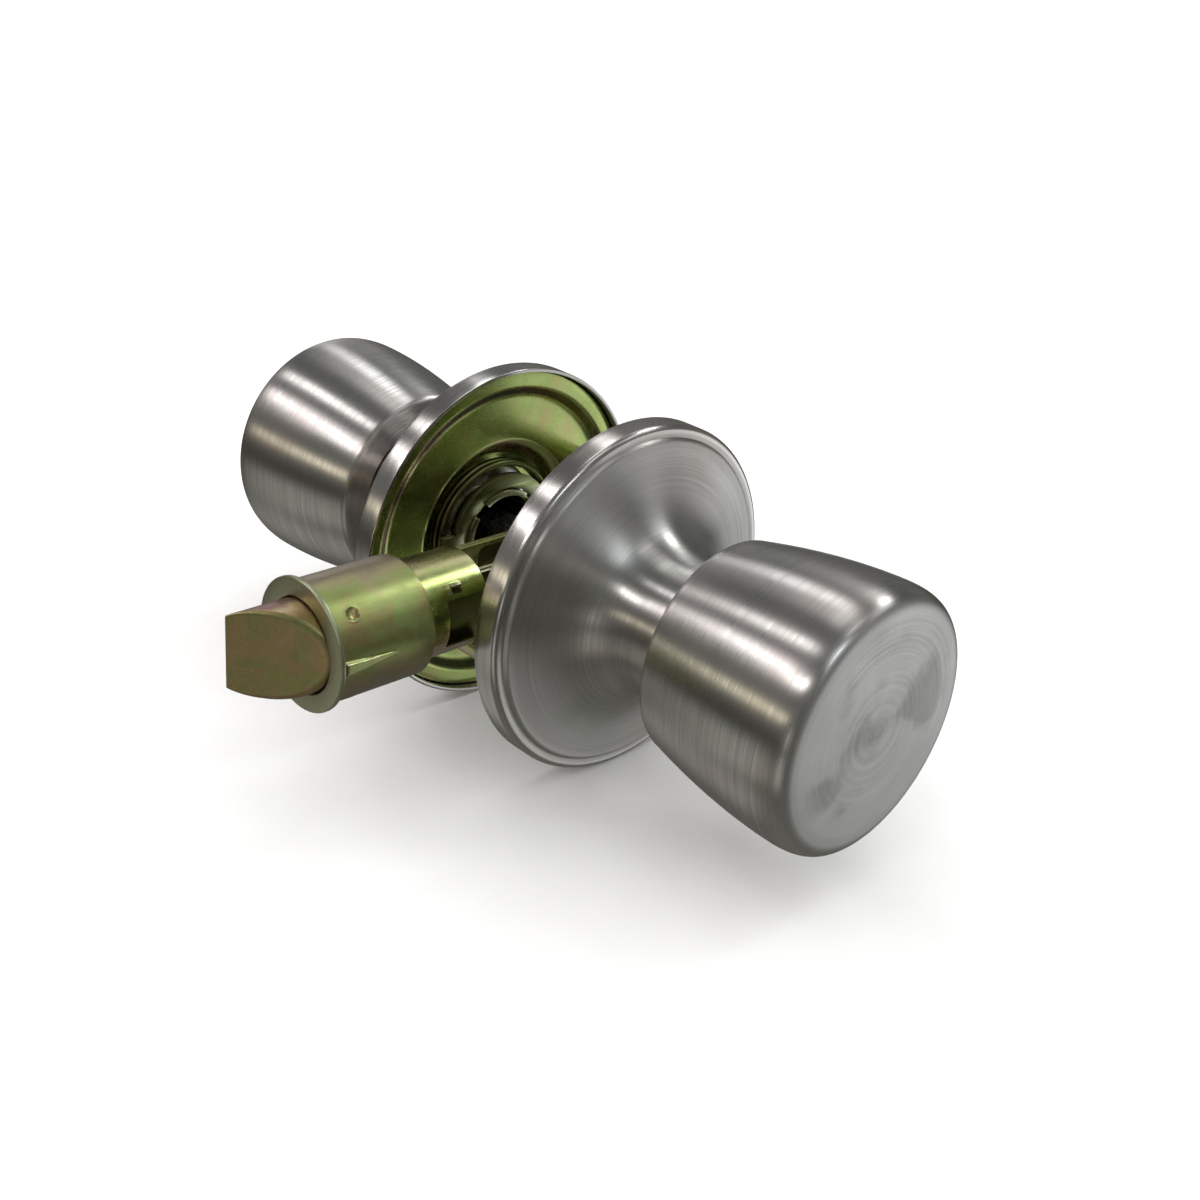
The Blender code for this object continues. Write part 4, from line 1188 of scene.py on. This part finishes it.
def make_latch_spring():
    """Compression spring whose end coils sit closer, so that no coil meets another when the bolt is in."""
    coil, wire, turns, per_turn = 4.0 * MM, 0.45 * MM, 6, 48
    start, end, travel = mm(41.25, 59.25, 11.5)
    share = np.linspace(0, 1, 2001)
    pressed = share * (end - start) - travel * share**2 * (3 - 2 * share)
    points = []
    for i in range(turns * per_turn + 1):
        t = float(np.interp(pressed[-1] * i / (turns * per_turn), pressed, share))
        angle = 2 * math.pi * i / per_turn
        points.append((coil * math.cos(angle), coil * math.sin(angle), start + (end - start) * t))
    mesh = sweep(points, wire, 12)
    mesh.transform(LATCH)
    spring = piece("latch_spring", mesh)
    spring.data.materials.append(STEEL)
    spring.data.shade_smooth()
    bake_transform(spring)
    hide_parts("latch_spring")


for side_name, side_axis, local_up in (("near", NEAR, 1), ("far", FAR, -1)):
    make_side(side_name, side_axis, local_up)
for place_name, side_sign in (("front", -1), ("rear", 1)):
    make_screw(place_name + "_screw", side_sign)
    make_post(place_name + "_post", side_sign)
for make_piece in (make_spindle, make_collar, make_sleeve, make_case, make_frame, make_frame_rivet):
    make_piece()
for make_piece in (make_bolt, make_tail_rod, make_retractor, make_hub, make_latch_spring):
    make_piece()

# ---- floor, light and camera


def make_floor():
    """Plain pale sweep under the roses. Metal sees the studio's lower half in its place."""
    level = CAD_LOW.z - 0.2 * MM
    floor = new_object("floor", box_mesh((-3.0, -3.0, level - 0.01), (3.0, 3.0, level)))
    made, graph, shader = new_material("floor")
    rays = graph.add("ShaderNodeLightPath")
    place = graph.add("ShaderNodeNewGeometry").outputs["Position"]
    fleck = graph.noise(place, 60.0, 2.0, 0.5)
    colour = graph.ramp(fleck, ((0.3, (0.90, 0.90, 0.895)), (0.7, (0.93, 0.93, 0.925))))
    graph.shade(shader, Base_Color=colour, Roughness=0.9, Specular_IOR_Level=0.0)
    clear = graph.add("ShaderNodeBsdfTransparent").outputs[0]
    inputs = {0: rays.outputs["Is Glossy Ray"], 1: shader.outputs[0], 2: clear}
    mixed = graph.add("ShaderNodeMixShader", inputs)
    made.node_tree.links.new(mixed.outputs[0], made.node_tree.nodes["Material Output"].inputs["Surface"])
    floor.data.materials.append(made)


def direction(azimuth, elevation):
    a, e = math.radians(azimuth), math.radians(elevation)
    return Vector((math.cos(a) * math.cos(e), math.sin(a) * math.cos(e), math.sin(e)))


def rolled(right, upward, turn):
    c, s = math.cos(turn), math.sin(turn)
    return right * c + upward * s, upward * c - right * s


def soft_panel(graph, ray, azimuth, elevation, across, along, tilt, soft, colour, strength):
    """A soft rectangular light far away. across and along are half sizes in degrees."""
    middle = direction(azimuth, elevation)
    right = Vector((0, 0, 1)).cross(middle).normalized()
    upward = middle.cross(right)
    right, upward = rolled(right, upward, math.radians(tilt))
    ahead = graph.vector("DOT_PRODUCT", ray, tuple(middle))
    share = graph.band(ahead, 0.0, 0.05)
    for line, half in ((right, across), (upward, along)):
        aside = graph.math("ABSOLUTE", graph.vector("DOT_PRODUCT", ray, tuple(line)))
        slope = graph.math("DIVIDE", aside, graph.math("MAXIMUM", ahead, 0.01))
        size = math.tan(math.radians(half))
        share = graph.times(share, graph.band(slope, size * (1 + soft), size * (1 - soft)))
    return graph.vector("SCALE", tuple(colour), scale=graph.times(share, strength))


def make_light():
    world = bpy.data.worlds.new("studio")
    bpy.context.scene.world = world
    world.use_nodes = True
    graph = Graph(world.node_tree)
    world.node_tree.nodes.clear()
    ray = graph.vector("NORMALIZE", graph.add("ShaderNodeTexCoord").outputs["Generated"])
    height = graph.separate(ray)[2]
    room = graph.ramp(
        graph.band(height, -1.0, 1.0, smooth=False),
        (
            (0.00, (0.17, 0.165, 0.15)),
            (0.25, (0.10, 0.098, 0.085)),
            (0.43, (0.06, 0.058, 0.052)),
            (0.57, (0.17, 0.17, 0.155)),
            (0.74, (0.12, 0.12, 0.12)),
            (1.00, (0.14, 0.14, 0.14)),
        ),
    )
    total = room
    # azimuth, elevation, half width, half height and tilt in degrees, then softness, colour and strength
    panels = (
        (-178, 38.5, 20, 3.2, 4, 0.4, (1.03, 0.98, 0.95), 6.0),
        (133, 34.5, 12, 3.0, 12, 0.4, (1.03, 0.97, 0.97), 6.0),
        (-89, 30.5, 8, 7, 0, 0.5, (0.95, 1.02, 1.04), 3.2),
        (-70, 59, 9, 7, 0, 0.5, (1.02, 0.99, 0.99), 1.5),
        (-43, 39, 8, 10, 0, 0.5, (0.95, 1.02, 1.02), 1.15),
        (-12, 47.5, 6, 4.5, 0, 0.5, (1.0, 1.0, 0.98), 10.0),
        (-33, -20, 14, 13, 10, 0.6, (0.98, 1.0, 1.0), 1.35),
        (-133, -8, 10, 6, 0, 0.6, (1.0, 1.0, 0.97), 0.7),
        (60, 10, 5, 6, 0, 0.6, (1.0, 1.02, 1.0), 1.1),
        (40, -21, 13, 9, 0, 0.6, (1.0, 1.0, 1.0), 0.7),
        (110, -50, 16, 12, 0, 0.6, (1.0, 0.99, 0.95), 0.25),
        (57, 49, 4, 9, 0, 0.5, (1.0, 1.0, 1.0), 3.4),
        (24, 46, 9, 8, 0, 0.5, (0.98, 1.0, 1.0), 0.9),
        (122, 52, 16, 2.8, 40, 0.4, (1.02, 1.0, 0.98), 4.0),
        (160, 9.5, 28, 2.8, 4, 0.4, (1.1, 1.0, 0.76), 1.5),
        (146, -29, 18, 12, 0, 0.6, (1.0, 0.99, 0.92), 0.34),
        (-139, -31, 14, 12, 0, 0.6, (1.03, 1.0, 0.95), 0.45),
        (60, 71, 9, 10, 0, 0.5, (1.0, 1.0, 0.97), 1.7),
    )
    for azimuth, elevation, across, along, tilt, soft, colour, strength in panels:
        panel = soft_panel(graph, ray, azimuth, elevation, across, along, tilt, soft, colour, strength)
        total = graph.vector("ADD", total, panel)
    rays = graph.add("ShaderNodeLightPath")
    plain = graph.mix(rays.outputs["Is Diffuse Ray"], total, (1.22, 1.22, 1.22))
    shown = graph.mix(rays.outputs["Is Camera Ray"], plain, (1.0, 1.0, 1.0))
    back = graph.add("ShaderNodeBackground", {"Color": shown, "Strength": 1.0})
    out = graph.add("ShaderNodeOutputWorld")
    world.node_tree.links.new(back.outputs[0], out.inputs["Surface"])


def make_camera():
    """The photograph's viewing angle: azimuth round from -Y, height and roll in degrees."""
    azimuth, elevation, roll, away, lens = -46.4984, 26.1288, 5.7061, 370.8916 * MM, 46.526
    target = Vector((SPINDLE_X + 44.5466 * MM, 30.1561 * MM, -33.3742 * MM))
    back = direction(azimuth - 90, elevation)
    level = direction(azimuth, 0)
    right, upward = rolled(level, back.cross(level), math.radians(roll))
    data = bpy.data.cameras.new("camera")
    data.sensor_width = 36.0
    data.lens = lens
    data.clip_start, data.clip_end = 0.01, 50.0
    camera = bpy.data.objects.new("camera", data)
    turn = Matrix((right, upward, back)).transposed().to_4x4()
    camera.matrix_world = Matrix.Translation(target + back * away) @ turn
    bpy.context.scene.collection.objects.link(camera)
    bpy.context.scene.camera = camera


make_floor()
make_light()
make_camera()
bpy.context.scene.view_settings.view_transform = "Standard"
bpy.context.scene.view_settings.look = "None"
